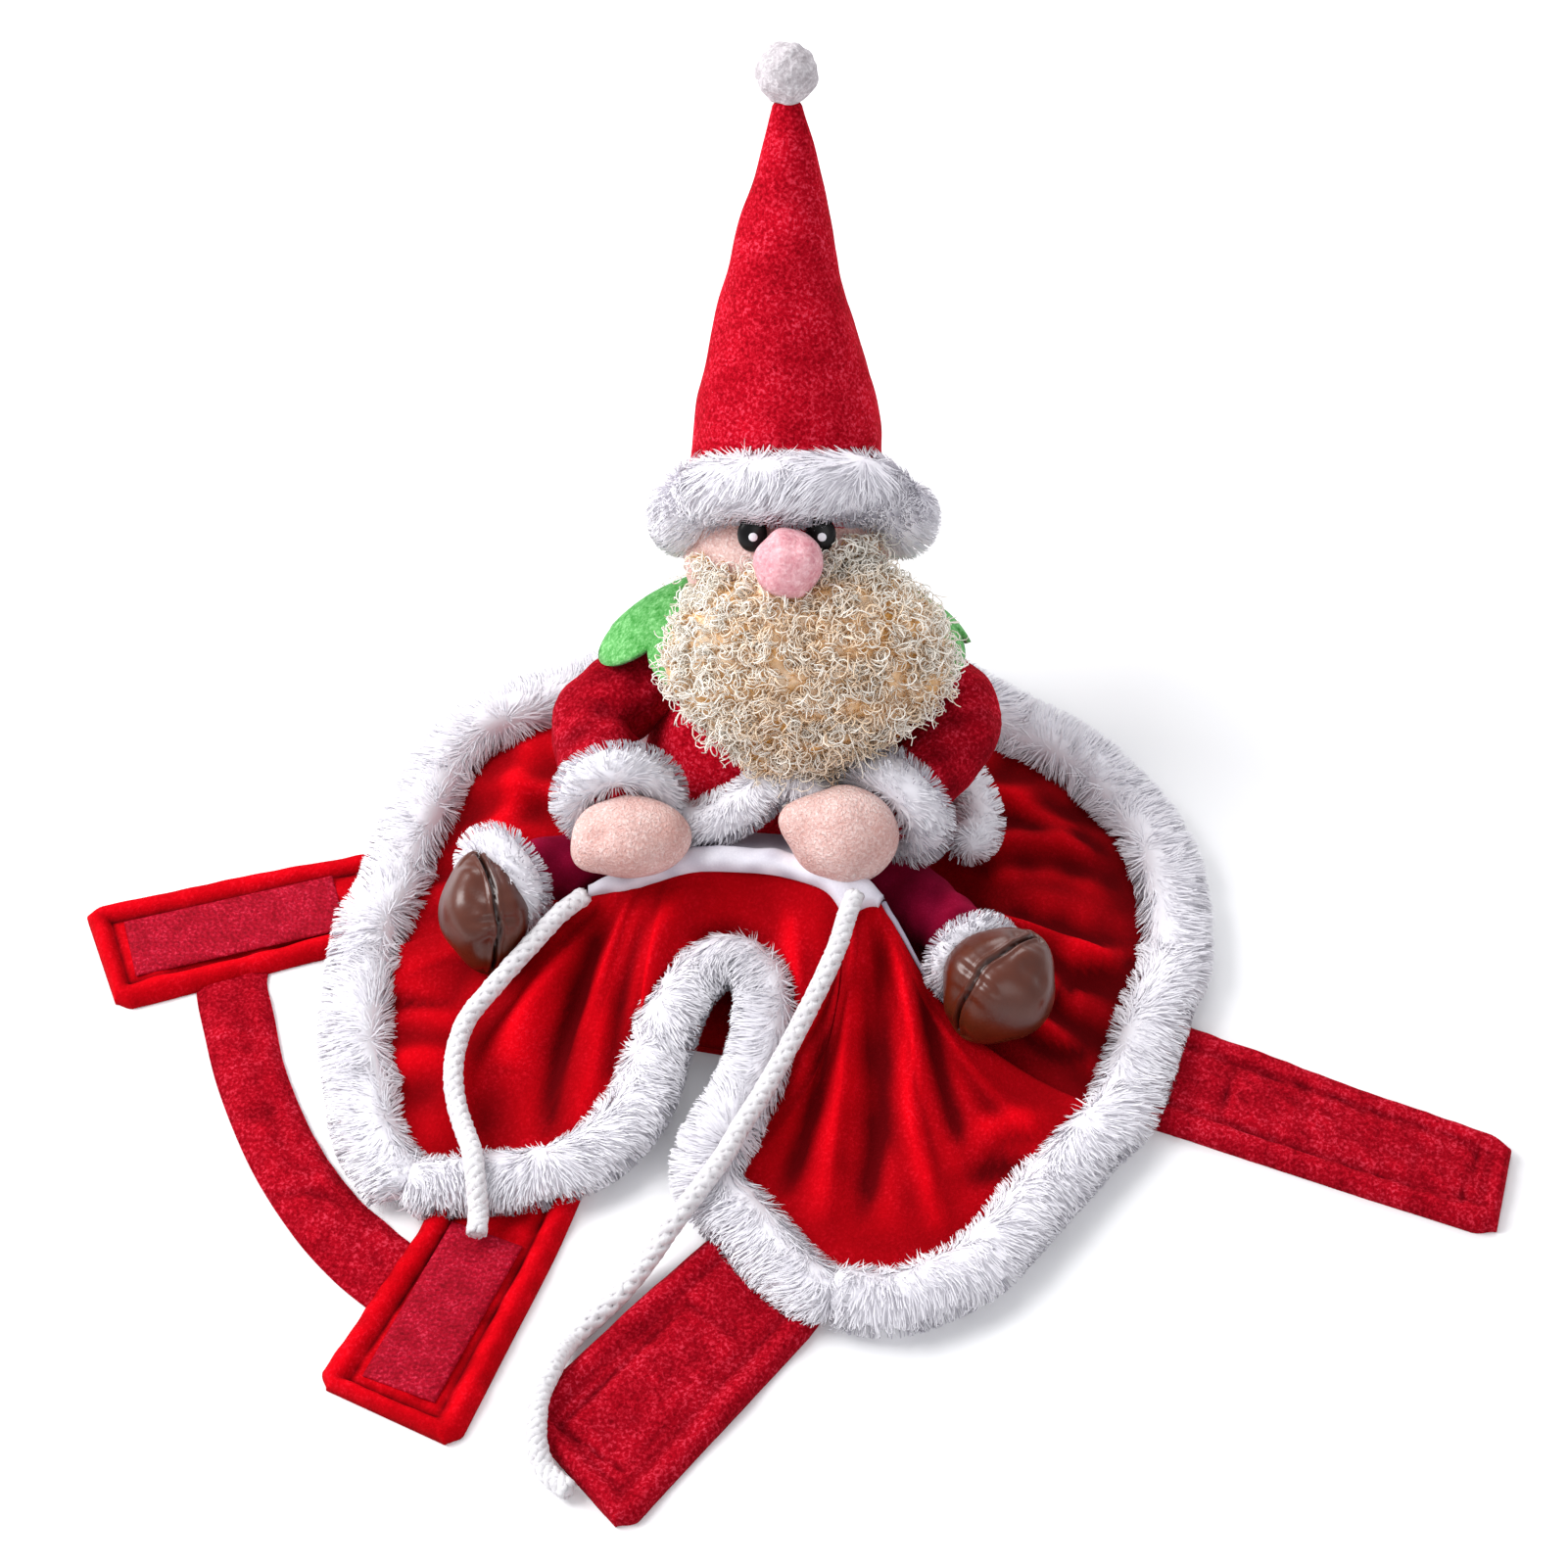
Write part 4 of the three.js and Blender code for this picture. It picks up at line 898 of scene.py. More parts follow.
@dataclass
class Reins:
    """Two braided cotton cords from under the rider's hands to the neck straps.

    Attributes:
        strands: yarns that turn each way.
        lay: length in which a yarn goes once round the cord, in millimetres.
        steps: points of a yarn in each lay.
        yarn: half width of a yarn in millimetres.
        sides: points round a yarn.
        weave: how far a yarn rises and sinks as it crosses others.
        core: size of the core as a share of the cord.
    """

    strands: int = 4
    lay: float = 15.0
    steps: int = 13
    yarn: float = 1.7
    sides: int = 5
    weave: float = 0.16
    core: float = 0.74

    def braid(self, route: Array) -> tuple[Shape, Array]:
        """Plaited yarns round a core.

        Args:
            route: the cord's points in millimetres.

        Returns:
            The cord's shape and its centre line.
        """
        core = Tube.through(np.c_[route, np.full((len(route), 2), REIN_DIAMETER / MM / 2)], samples=500)
        length = np.linalg.norm(np.diff(core.centre, axis=0), axis=1).sum()
        share = np.linspace(0, 1, int(length / self.lay * self.steps))
        laid = share * length / self.lay * TURN
        centre, side, rise, radius, _ = core.read(share)
        parts = [core.shape(120, 10, self.core)]
        # Painted shade: the core between the yarns is painted darker.
        parts[0].shade = np.full(len(parts[0].points), 0.55)
        orbit = radius - self.yarn * 0.55
        for hand in (-1, 1):
            for k in range(self.strands):
                angle = hand * laid + TURN * k / self.strands
                weave = self.weave * np.cos(self.strands * laid + math.pi * (k + (hand > 0)))
                out = side * np.cos(angle)[:, None] + rise * np.sin(angle)[:, None]
                line = centre + out * (orbit + weave)[:, None]
                parts.append(self.yarn_shape(line, out))
        return parts[0].joined(*parts[1:]), core.centre

    def yarn_shape(self, line: Array, out: Array) -> Shape:
        """One flattened yarn.

        Args:
            line: its middle line.
            out: directions away from the cord's middle.

        Returns:
            The yarn's shape.
        """
        ahead = unit(np.gradient(line, axis=0))
        side = unit(np.cross(ahead, out))
        angle = np.linspace(0, TURN, self.sides, endpoint=False)
        ring = side[:, None] * (np.cos(angle) * self.yarn * 1.0)[None, :, None]
        ring = ring + out[:, None] * (np.sin(angle) * self.yarn * 0.5)[None, :, None]
        points = (line[:, None] + ring).reshape(-1, 3)
        # Painted shade: each yarn is darker on its side towards the core and lighter on its outer side.
        shade = np.tile(0.55 + 0.45 * np.clip(np.sin(angle) * 0.9 + 0.35, 0, 1), len(line))
        return Shape(points, capped_faces(self.sides, len(line)), shade)

    def make(self) -> None:
        for name, points in (("rein_left", REIN_LEFT), ("rein_right", REIN_RIGHT)):
            shape, line = self.braid(np.array(points) / MM)
            shape.points[:, 2] = np.maximum(shape.points[:, 2], 0.2)
            cord = dress(shape.build(f"{name}_cord", finish(COTTON_BRAID)), [name])


@dataclass
class Studio:
    """The photograph's view, a pale floor and soft light."""

    target: tuple[float, float, float] = (0.0014149, 0.0350440, 0.0305993)
    azimuth: float = 12.0
    elevation: float = 48.0
    distance: float = 1.15
    lens: float = 76.06

    def make(self) -> None:
        """Camera, floor, lights and sky."""
        scene = bpy.context.scene
        a, e = math.radians(self.azimuth), math.radians(self.elevation)
        back = np.array([math.sin(a) * math.cos(e), -math.cos(a) * math.cos(e), math.sin(e)])
        right = np.array([math.cos(a), math.sin(a), 0.0])
        up = np.cross(back, right)
        place = np.array(self.target) + back * self.distance
        data = bpy.data.cameras.new("view")
        data.lens = self.lens
        data.sensor_width = 36.0
        scene.camera = self.hang("view", data, place, [right, up, back])
        scene.view_settings.view_transform = "Standard"
        self.floor()
        self.lamp("key", (-1.05, -0.1, 1.0), 0.9, 23.0)
        self.lamp("fill", (0.7, -1.0, 0.8), 0.9, 3.5)
        self.lamp("rim", (0.0, 1.1, 1.0), 0.8, 8.0)
        world = bpy.data.worlds.new("sky")
        world.use_nodes = True
        world.node_tree.nodes["Background"].inputs["Color"].default_value = (0.95, 0.96, 1.0, 1.0)
        world.node_tree.nodes["Background"].inputs["Strength"].default_value = 0.6
        scene.world = world

    def hang(self, name: str, data: bpy.types.ID, place: Sequence, axes: list[Array]) -> bpy.types.Object:
        """Puts a camera or a lamp in the scene.

        Args:
            name: of the object.
            data: the camera or the lamp.
            place: where it is, in metres.
            axes: its directions right, up and back.

        Returns:
            The object.
        """
        obj = bpy.data.objects.new(name, data)
        turned = np.eye(4)
        turned[:3, :3] = np.stack(axes, 1)
        turned[:3, 3] = place
        obj.matrix_world = Matrix(turned.tolist())
        bpy.context.scene.collection.objects.link(obj)
        return obj

    def floor(self) -> None:
        """A plain pale table top."""
        size = 2500.0
        corners = np.array([[-size, -size, 0], [size, -size, 0], [size, size, 0], [-size, size, 0]], float)
        material, _, _ = new_material("table_white", {"Base Color": linear("#f4f4f5"), "Roughness": 0.9})
        Shape(corners, [(0, 1, 2, 3)]).build("table_top", material)

    def lamp(self, name: str, place: tuple[float, float, float], size: float, power: float) -> None:
        """A square soft box that looks at the costume.

        Args:
            name: of the lamp.
            place: where it hangs, in metres.
            size: its side in metres.
            power: its power in watts.
        """
        data = bpy.data.lights.new(name, "AREA")
        data.size = size
        data.energy = power
        back = unit(np.array(place) - np.array([0.0, -0.02, 0.04]))
        right = unit(np.cross([0.0, 0.0, 1.0], back))
        self.hang(name, data, place, [right, np.cross(back, right), back])


# Cloth relief


@dataclass(frozen=True)
class Crease:
    """A soft trough or ridge along a line on a cloth, in millimetres.

    Attributes:
        line: plan points of its middle.
        height: of the ridge, or less than nothing for a trough.
        left: width on the left side of the line's direction.
        right: width on the right side.
    """

    line: tuple[tuple[float, float], ...]
    height: float
    left: float
    right: float

    def raise_at(self, plan: Array) -> Array:
        """Heights that the crease adds.

        Args:
            plan: points seen from above, shape (..., 2).

        Returns:
            One height for each point.
        """
        line = smooth_rows(np.array(self.line, float), np.linspace(0, len(self.line) - 1, 40))
        flat = plan.reshape(-1, 2)
        gap = flat[:, None] - line[None]
        nearest = np.argmin((gap ** 2).sum(-1), axis=1)
        offset = gap[np.arange(len(flat)), nearest]
        ahead = unit(np.gradient(line, axis=0))[nearest]
        sideways = ahead[:, 0] * offset[:, 1] - ahead[:, 1] * offset[:, 0]
        width = np.where(sideways > 0, self.left, self.right)
        share = nearest / (len(line) - 1)
        taper = np.clip(np.sin(math.pi * (0.06 + 0.88 * share)), 0, 1) ** 0.7
        height = self.height * taper * np.exp(-((offset ** 2).sum(-1)) / width ** 2)
        return height.reshape(plan.shape[:-1])


def blurred(data: Array, reach: int) -> Array:
    """A grid of values smoothed over its neighbours.

    Args:
        data: the grid.
        reach: how many neighbours take part on each side.

    Returns:
        The smoothed grid.
    """
    kernel = np.hanning(2 * reach + 3)[1:-1]
    kernel /= kernel.sum()
    for axis in (0, 1):
        pad = [(reach, reach) if a == axis else (0, 0) for a in (0, 1)]
        wide = np.pad(data, pad, mode="edge")
        data = np.apply_along_axis(lambda row: np.convolve(row, kernel, "valid"), axis, wide)
    return data


def fold_shade(height: Array, reach: int, depth: float, level: float | Array = 0.8) -> Array:
    """Painted shade for a grid of heights: dark in its troughs, full on its crests and at a level between."""
    return np.clip(level + (height - blurred(height, reach)) / depth, 0.0, 1.0)


# Cape

HEM = np.array([
    [-88, -139, 7], [-102, -124, 7], [-111, -105, 7], [-119, -87, 7], [-125, -59, 7],
    [-128, -39, 7], [-126, -20, 7], [-127, -1, 7], [-126, 20, 7], [-125, 38, 7],
    [-117, 60, 7], [-94, 81, 7], [-62, 103, 7], [-25, 118, 7], [15, 121, 7],
    [48, 114, 7], [70, 103, 7], [93, 93, 7], [113, 77, 7], [128, 59, 7],
    [138, 38, 7], [144, 4, 7], [141, -14, 7], [138, -40, 7], [135, -62, 7],
    [127, -76, 7], [120, -90, 7], [107, -116, 7], [99, -131, 7], [86, -143, 7],
    [74, -150, 7], [59, -151, 7],
], float)
HEM_LEFT_SLIT = 4.65
HEM_RIGHT_SLIT = 24.2
# Where the neck and the right part of the hem start along the front panel's whole edge
NECK_RUN = 5
RIGHT_RUN = 21
NECK = np.array([
    [-82, -139, 7, 10.5], [-60, -132, 7, 11.5], [-44, -126, 7, 11.5], [-29, -113, 7.5, 11.5],
    [-20, -95, 10, 11], [-18, -73, 13, 10.5], [-14, -51, 18, 10], [-2, -37, 22, 9.5],
    [11, -44, 20, 10], [15, -60, 15, 10], [14, -80, 10, 10.5], [8, -104, 7.5, 11],
    [10, -119, 7, 11.5], [24, -131, 7, 11.5], [40, -145, 7, 11.5], [54, -154, 7, 10.5],
], float)
RIDGE = np.array([
    [-55, -20, 22], [-39, -16, 29], [-23, -11, 35], [-10, -9, 37], [10, -7, 37], [33, -11, 37], [45, -14, 34],
], float)
# Back and up from the ridge: the lining's closed outline
LINING_PROFILE = np.array([
    [-3.4, -2.6], [-4.2, 0.4], [-3, 3.2], [0, 4.4], [3, 3.2], [6, -0.4], [12, -4.4], [21, -8],
    [21, -10], [11, -6.4], [5, -2.8], [1, -1.4],
])
UNDER_EDGE = np.array([
    [108, -78], [82, -80], [50, -66], [20, -62], [0, -62], [-20, -62], [-50, -62], [-80, -60], [-106, -54],
], float)
# Gathers of the back panel: place along the hem in rows, height, width in rows, start
BACK_FOLDS = np.array([
    [6.0, 5, 0.4, 0.45], [7.5, 4, 0.5, 0.5], [9.0, 6, 0.5, 0.4], [10.5, 4, 0.4, 0.5], [12.0, 5, 0.5, 0.55],
    [14.0, 4, 0.5, 0.55], [16.0, 6, 0.5, 0.62], [17.5, 4, 0.4, 0.55], [19.0, 7, 0.5, 0.4],
    [20.5, 5, 0.4, 0.5], [21.5, 8, 0.4, 0.42], [22.5, 6, 0.3, 0.45], [23.3, 6, 0.26, 0.42],
])
# Spokes of the front panel: ridge place, edge (0 hem, 1 neck), place on it, gather, bow, drop
SPOKES = np.array([
    [0.0, 0, 4.65, 0, 6, 4.0], [0.12, 0, 4.0, 3, 4, 2.8], [0.3, 0, 3.3, 0, 2, 1.8], [0.4, 0, 2.5, 4, 0, 1.7],
    [0.55, 0, 1.5, 0, 0, 1.8], [0.7, 0, 0.5, 5, 0, 1.6], [0.85, 1, 1.0, 0, 0, 2.0], [1.0, 1, 1.9, 7, 1, 1.5],
    [1.15, 1, 2.8, 1, 3, 1.6], [1.3, 1, 3.9, 5, 4, 1.3], [1.6, 1, 4.9, 1, 2, 1.2], [2.05, 1, 5.9, 3, 0, 1.0],
    [2.8, 1, 6.5, 0, 0, 1.0], [3.4, 1, 7.0, 0, 0, 1.0], [4.0, 1, 7.5, 0, 0, 1.0], [4.5, 1, 8.1, 2, -2, 1.0],
    [4.75, 1, 9.1, 0, -6, 1.1], [4.82, 1, 10.0, 4, -10, 1.2], [4.89, 1, 11.0, 0, -13, 1.5],
    [4.96, 1, 12.1, 3, -11, 1.7], [5.08, 1, 13.1, 0, -6, 1.8], [5.2, 1, 14.2, 5, 0, 1.6],
    [5.3, 0, 30.5, 0, 0, 1.7], [5.42, 0, 29.3, 3, 0, 1.6], [5.55, 0, 28.0, 0, 0, 1.8],
    [5.68, 0, 26.8, 9, 2, 1.3], [5.82, 0, 25.6, 3, 5, 1.7], [6.0, 0, 24.2, 0, 8, 2.2],
])
FRONT_CREASES = (
    Crease(((-48, -33), (-49, -50), (-49, -69), (-49, -89), (-48, -106)), -3.4, 4.2, 4.6),
    Crease(((-38, -31), (-40, -50), (-39, -70), (-38, -90), (-38, -104)), 2.4, 4.4, 4.6),
    Crease(((-33, -32), (-34, -47), (-34, -62), (-32, -82)), -2.2, 3.2, 3.6),
    Crease(((-23, -25), (-28, -36), (-29, -50), (-28, -64)), 2.6, 4.6, 4.4),
    Crease(((-60, -41), (-63, -58), (-65, -76), (-65, -89)), 3.4, 7.0, 7.0),
    Crease(((-71, -84), (-69, -100), (-68, -122)), -1.0, 8.0, 8.0),
    Crease(((-105, -92), (-95, -87), (-84, -87)), 2.2, 5.0, 8.0),
    Crease(((-112, -73), (-101, -70), (-87, -72)), 1.4, 4.0, 5.0),
    Crease(((-16, -33), (-3, -26), (11, -29)), -1.6, 3.0, 3.6),
    Crease(((15, -22), (19, -33), (23, -45)), 2.0, 3.0, 3.4),
    Crease(((34, -23), (35, -43), (36, -64), (36, -88), (34, -111)), -2.8, 4.0, 4.4),
    Crease(((41, -28), (43, -52), (45, -76), (45, -97), (46, -119)), 2.4, 4.6, 5.0),
    Crease(((46, -25), (51, -50), (57, -74), (60, -94), (60, -116)), -3.4, 5.0, 5.4),
    Crease(((48, -16), (55, -31), (62, -55), (68, -78), (75, -97), (83, -115)), 3.4, 4.6, 4.4),
    Crease(((65, -41), (73, -60), (81, -76), (87, -88)), -3.0, 4.2, 4.6),
    Crease(((91, -81), (99, -76), (109, -71)), 2.2, 5.0, 5.0),
    Crease(((111, -81), (99, -91), (89, -99)), -1.6, 5.0, 5.0),
)
BACK_CREASES = (
    Crease(((105, -1), (118, 1), (132, 8)), 2.4, 4.0, 3.2),
    Crease(((106, -24), (113, -11), (129, -9)), -2.6, 3.4, 3.0),
    Crease(((99, 56), (114, 49)), -1.8, 3.6, 3.0),
    Crease(((65, 73), (84, 63), (103, 57)), 2.2, 4.6, 3.8),
    Crease(((107, -39), (121, -41)), -2.0, 3.2, 3.2),
    Crease(((-111, 27), (-115, 2)), -1.8, 4.0, 3.4),
    Crease(((-98, 58), (-96, 24), (-100, 13)), 2.2, 5.0, 4.4),
    Crease(((-104, 0), (-115, -12)), -1.8, 3.4, 3.8),
    Crease(((-102, -55), (-86, -52)), 1.8, 4.0, 4.4),
    Crease(((-48, 78), (-60, 96)), -2.0, 3.4, 4.0),
    Crease(((-12, 92), (-16, 110)), 2.0, 4.6, 3.6),
    Crease(((28, 92), (38, 108)), -1.8, 3.8, 3.2),
    Crease(((74, 30), (96, 34), (118, 30)), 1.8, 5.4, 4.4),
)


def table_or_panel(plan: Array) -> Array:
    """Height of what lies under the front panel: the table, or the back panel's hidden front edge.

    Args:
        plan: points seen from above, shape (..., 2).

    Returns:
        One height for each point.
    """
    rows = UNDER_EDGE[::-1]
    edge = np.interp(plan[..., 0], rows[:, 0], rows[:, 1])
    t = np.clip((plan[..., 1] - (edge - 14)) / 9, 0, 1)
    return 3.4 * t * t * (3 - 2 * t)


@dataclass
class Cape:
    """The velvet cape: back panel, front panel over it, rolled lining and two fur trims.

    Attributes:
        cloth: thickness of the cloth with its pile.
        trim_across: half width of the hem's fur.
        trim_up: half height of both furs.
        trim_slope: how much a trim's side leans in over its height.
        trim_cloth: height of the cloth's edge below a trim's middle.
        seam_gap: room between a solid trim and the cloth.
        tuck: how far the cloth goes in under the tufts.
        hem_tufts: number of tufts on the hem.
        neck_tufts: number of tufts round the neck notch.
        slit: the front panel's edge along the right slit, once it is built.
    """

    cloth: float = 3.0
    trim_across: float = 11.5
    trim_up: float = 8.2
    trim_slope: float = 0.414
    trim_cloth: float = 3.9
    seam_gap: float = 0.3
    tuck: float = 1.2
    hem_tufts: int = 22500
    neck_tufts: int = 12000
    slit: Optional[Array] = None

    def beside(self, rows: Array, place: Array, lift: Array) -> Array:
        """The cloth's edge next to a trim.

        Args:
            rows: the trim's centre line, with a fourth column where its half width varies.
            place: places along it, in rows.
            lift: height of what the cloth lies on at each place.

        Returns:
            Points of the cloth's upper edge.
        """
        hem = rows.shape[1] == 3
        last = len(rows) - 1
        data = smooth_rows(rows, place)
        further = smooth_rows(rows, np.minimum(last, place + 0.01))
        ahead = further - smooth_rows(rows, np.maximum(0, place - 0.01))
        side = unit(np.stack([ahead[:, 1], -ahead[:, 0]], -1)) * (1 if hem else -1)
        height = np.maximum(data[:, 2] - self.trim_cloth + lift, lift + self.cloth)
        across = np.full(len(place), self.trim_across) if hem else data[:, 3]
        half = across * (1 - self.trim_slope * np.abs(height - data[:, 2]) / self.trim_up) + self.seam_gap
        return np.c_[data[:, :2] + side * (half - self.tuck)[:, None], height]

    def front(self) -> Shape:
        """Front panel: from the raised ridge down to the hem and the neck notch.

        Returns:
            The panel, whose right edge is kept for the lining.
        """
        left = np.linspace(HEM_LEFT_SLIT, 0.5, 32)
        neck = np.linspace(0.5, len(NECK) - 1.5, 110)
        right = np.linspace(len(HEM) - 1.0, HEM_RIGHT_SLIT, 54)
        outers, runs = [], []
        for rows, place, run in (
            (HEM, left, HEM_LEFT_SLIT - left),
            (NECK, neck, NECK_RUN + neck),
            (HEM, right, RIGHT_RUN + len(HEM) - 1 - right),
        ):
            middle = smooth_rows(rows, place)
            outer = self.beside(rows, place, table_or_panel(middle[:, :2]))
            if outers:
                share = np.linspace(0, 1, 8)[1:-1, None]
                outers.append(outers[-1][-1] * (1 - share) + outer[0] * share)
                runs.append((runs[-1][-1] * (1 - share) + run[0] * share)[:, 0])
            outers.append(outer)
            runs.append(run)
        outer, run = np.concatenate(outers), np.concatenate(runs)
        spoke_runs = np.where(SPOKES[:, 1] > 0, NECK_RUN + SPOKES[:, 2], np.where(
            SPOKES[:, 2] < len(HEM) / 2,
            HEM_LEFT_SLIT - SPOKES[:, 2],
            RIGHT_RUN + len(HEM) - 1 - SPOKES[:, 2]))
        values = np.stack([np.interp(run, spoke_runs, SPOKES[:, k]) for k in (0, 3, 4, 5)], 1)
        kernel = np.hanning(9)[1:-1] / np.hanning(9).sum()
        values = np.stack([np.convolve(np.pad(c, 3, mode="edge"), kernel, "valid") for c in values.T], 1)
        ridge, gather, bow, drop = values.T
        inner = smooth_rows(RIDGE, np.clip(ridge, 0, 6))
        v = np.linspace(0, 1, 52)[:, None]
        plan = inner[None, :, :2] * (1 - v[..., None]) + outer[None, :, :2] * v[..., None]
        ahead = unit(outer[:, :2] - inner[:, :2])
        swing = np.sin(math.pi * v) * bow[None]
        plan = plan + np.stack([ahead[:, 1], -ahead[:, 0]], -1)[None] * swing[..., None]
        height = outer[:, 2] + (inner[:, 2] - outer[:, 2]) * (1 - v) ** drop
        height = height + gather * np.sin(math.pi * v) ** 0.8 * 0.35
        fade = ramp(0, 0.1, v) * ramp(1, 0.9, v)
        relief = sum(crease.raise_at(plan) for crease in FRONT_CREASES)
        height = height + relief * (0.25 + 0.75 * fade) * 1.3
        height = height + waves(np.concatenate([plan, height[..., None]], -1), 24, 3) * 0.3 * fade
        floor = table_or_panel(plan)
        top = np.concatenate([plan, np.maximum(height, floor + self.cloth)[..., None]], -1)
        under = top - np.array([0, 0, self.cloth - 0.4])
        under[..., 2] = np.maximum(under[..., 2], floor + 0.05)
        self.slit = top[:, -1]
        # Painted shade: dark in the troughs and full on the crests of the folds and creases.
        shade = np.clip(fold_shade(top[..., 2], 7, 3.8, 0.48) + relief * 0.085, 0.06, 1)
        return shell(top[::-1], under[::-1], shade[::-1])

    def back(self) -> Shape:
        """Back panel: round the hem, and under the front panel with a hidden edge.

        Returns:
            The panel.
        """
        place = np.linspace(HEM_LEFT_SLIT, HEM_RIGHT_SLIT, 220)
        lift = self.gathers(place, np.ones(1))[0]
        edge = self.beside(HEM, place, np.maximum(0, self.cloth + lift - (7 - self.trim_cloth)))
        hidden = smooth_rows(UNDER_EDGE, np.linspace(0, len(UNDER_EDGE) - 1, 28))
        outer = np.concatenate([edge[:, :2], hidden])
        v = np.linspace(0, 1, 40)
        middle = np.array([2.0, 30.0])
        plan = middle + (outer - middle)[None] * v[:, None, None]
        height = np.zeros(plan.shape[:2])
        height[:, : len(place)] = self.gathers(place, v)
        fade = ramp(1, 0.88, v)[:, None]
        relief = sum(crease.raise_at(plan) for crease in BACK_CREASES)
        height = height + np.maximum(relief * 1.3, -2.4) * fade
        uneven = waves(np.concatenate([plan, plan[..., :1]], -1), 15, 5)
        height = height + uneven * 0.35 * fade * ramp(0.3, 0.5, v)[:, None]
        tucked = np.ones(plan.shape[:2])
        tucked[:, len(place):] = 0
        tucked = blurred(tucked, 6)
        height = np.maximum(height * tucked, 0)
        top = np.concatenate([plan, height[..., None] + self.cloth], -1)
        under = top - np.array([0, 0, self.cloth])
        # Painted shade of the folds, and painted light from the side: lighter on the left, darker on the
        # right.
        level = 0.34 - 0.16 * plan[..., 0] / 130
        shade = np.clip(fold_shade(top[..., 2], 6, 4.4, level) + relief * 0.07, 0.05, 1)
        return self.wrapped(top, under, shade)

    def gathers(self, place: Array, v: Array) -> Array:
        """Heights of the back panel's gathers.

        Args:
            place: places along the hem, in rows.
            v: shares of the way from the middle to the hem.

        Returns:
            Heights, one row for each share.
        """
        total = np.zeros((len(v), len(place)))
        for at, height, width, start in BACK_FOLDS:
            near = np.exp(-(((place - at) / width) ** 2))
            rise = ramp(start, start + 0.25, v) * (1 - 0.8 * ramp(0.8, 1, v))
            total += height * near[None] * rise[:, None]
        return total

    def wrapped(self, top: Array, under: Array, shade: Array) -> Shape:
        """Closed cloth whose rows run all the way round a middle point.

        Args:
            top: upper points, shape (rows, columns, 3).
            under: lower points of the same shape.
            shade: paint for the upper points.

        Returns:
            One closed shape.
        """
        rows, columns = shade.shape
        count = rows * columns
        faces = grid_faces(columns, rows, wrap=True)
        faces += [tuple(count + i for i in reversed(f)) for f in faces]
        rim = np.arange(columns) + (rows - 1) * columns
        faces += [(int(b), int(a), int(a) + count, int(b) + count) for a, b in zip(rim, np.roll(rim, -1))]
        faces = [f[::-1] for f in faces]
        points = np.concatenate([g[:, ::-1].reshape(count, 3) for g in (top, under)])
        return Shape(points, faces, np.tile(shade[:, ::-1].ravel(), 2))

    def lining(self) -> Shape:
        """White lining rolled over the ridge, with the lap that runs back under the jacket.

        Returns:
            The roll, with the thin edge that shows along the right slit.
        """
        sides, steps, last = 48, 96, len(RIDGE) - 1
        around = smooth_rows(LINING_PROFILE, np.linspace(0, len(LINING_PROFILE), sides, endpoint=False), True)
        place = np.linspace(0, last, steps)
        middle = smooth_rows(RIDGE, place)
        further = smooth_rows(RIDGE, np.minimum(last, place + 0.05))
        ahead = unit((further - smooth_rows(RIDGE, np.maximum(0, place - 0.05))) * [1, 1, 0])
        back = np.stack([-ahead[:, 1], ahead[:, 0]], -1)
        lap = 0.12 + 0.88 * ramp(1.6, 2.4, place) * (1 - ramp(4.3, 5.2, place))
        slim = (0.5 + 0.5 * ramp(0, 1.2, place) * (1 - ramp(5.2, last, place)))[:, None]
        flap = (np.exp(-(((place - 5.2) / 0.34) ** 2)))[:, None] * (around[:, 0] < -2.5)
        lapped = around[:, 0] > 4
        out = np.where(lapped, 4 + (around[:, 0] - 4) * lap[:, None], around[:, 0] - 6.0 * flap)
        drop = np.where(lapped, around[:, 1] * (0.3 + 0.7 * lap[:, None]), around[:, 1] - 1.6 * flap)
        plan = middle[:, None, :2] + back[:, None] * (out * slim)[..., None]
        points = np.concatenate([plan, (middle[:, 2:3] + 1 + drop * slim)[..., None]], -1)
        upper = ramp(-2.5, 0, around[:, 1])[None]
        points[..., 2] += waves(points * [1, 0.5, 0.2], 9, 12) * 0.55 * upper
        # Painted shade: darker towards the lap that runs back under the jacket, uneven at random.
        low = ramp(3, 9, around[:, 0])[None] * 0.45
        shade = np.clip(0.8 - low + waves(points, 9, 12) * 0.25, 0, 1)
        roll = Shape(points.reshape(-1, 3), capped_faces(sides, steps), shade.ravel())
        edge = self.slit[: len(self.slit) * 4 // 10]
        thin = 1.15 * np.linspace(1, 0.3, len(edge))
        band = Tube.through(np.c_[edge + [0.9, 0.6, -0.6], thin, thin * 1.1], samples=60).shape(40, 8)
        # The thin edge is painted almost in the deep lilac colour: painted shade of the lining that shows in
        # the slit.
        band.shade = np.full(len(band.points), 0.1)
        return roll.turned_out().joined(band)

    def trim(self, rows: Array, across: Array, outward: float, count: int, seed: int) -> Shape:
        """Fur sewn along an edge, combed outward to one side, 1 or -1."""
        tube = Tube.through(np.c_[rows[:, :3], across, np.full(len(rows), self.trim_up)], samples=900)
        return fur_on(tube, HEM_CUT, count, seed, sideways=outward, low=-0.55, high=math.pi + 0.55)

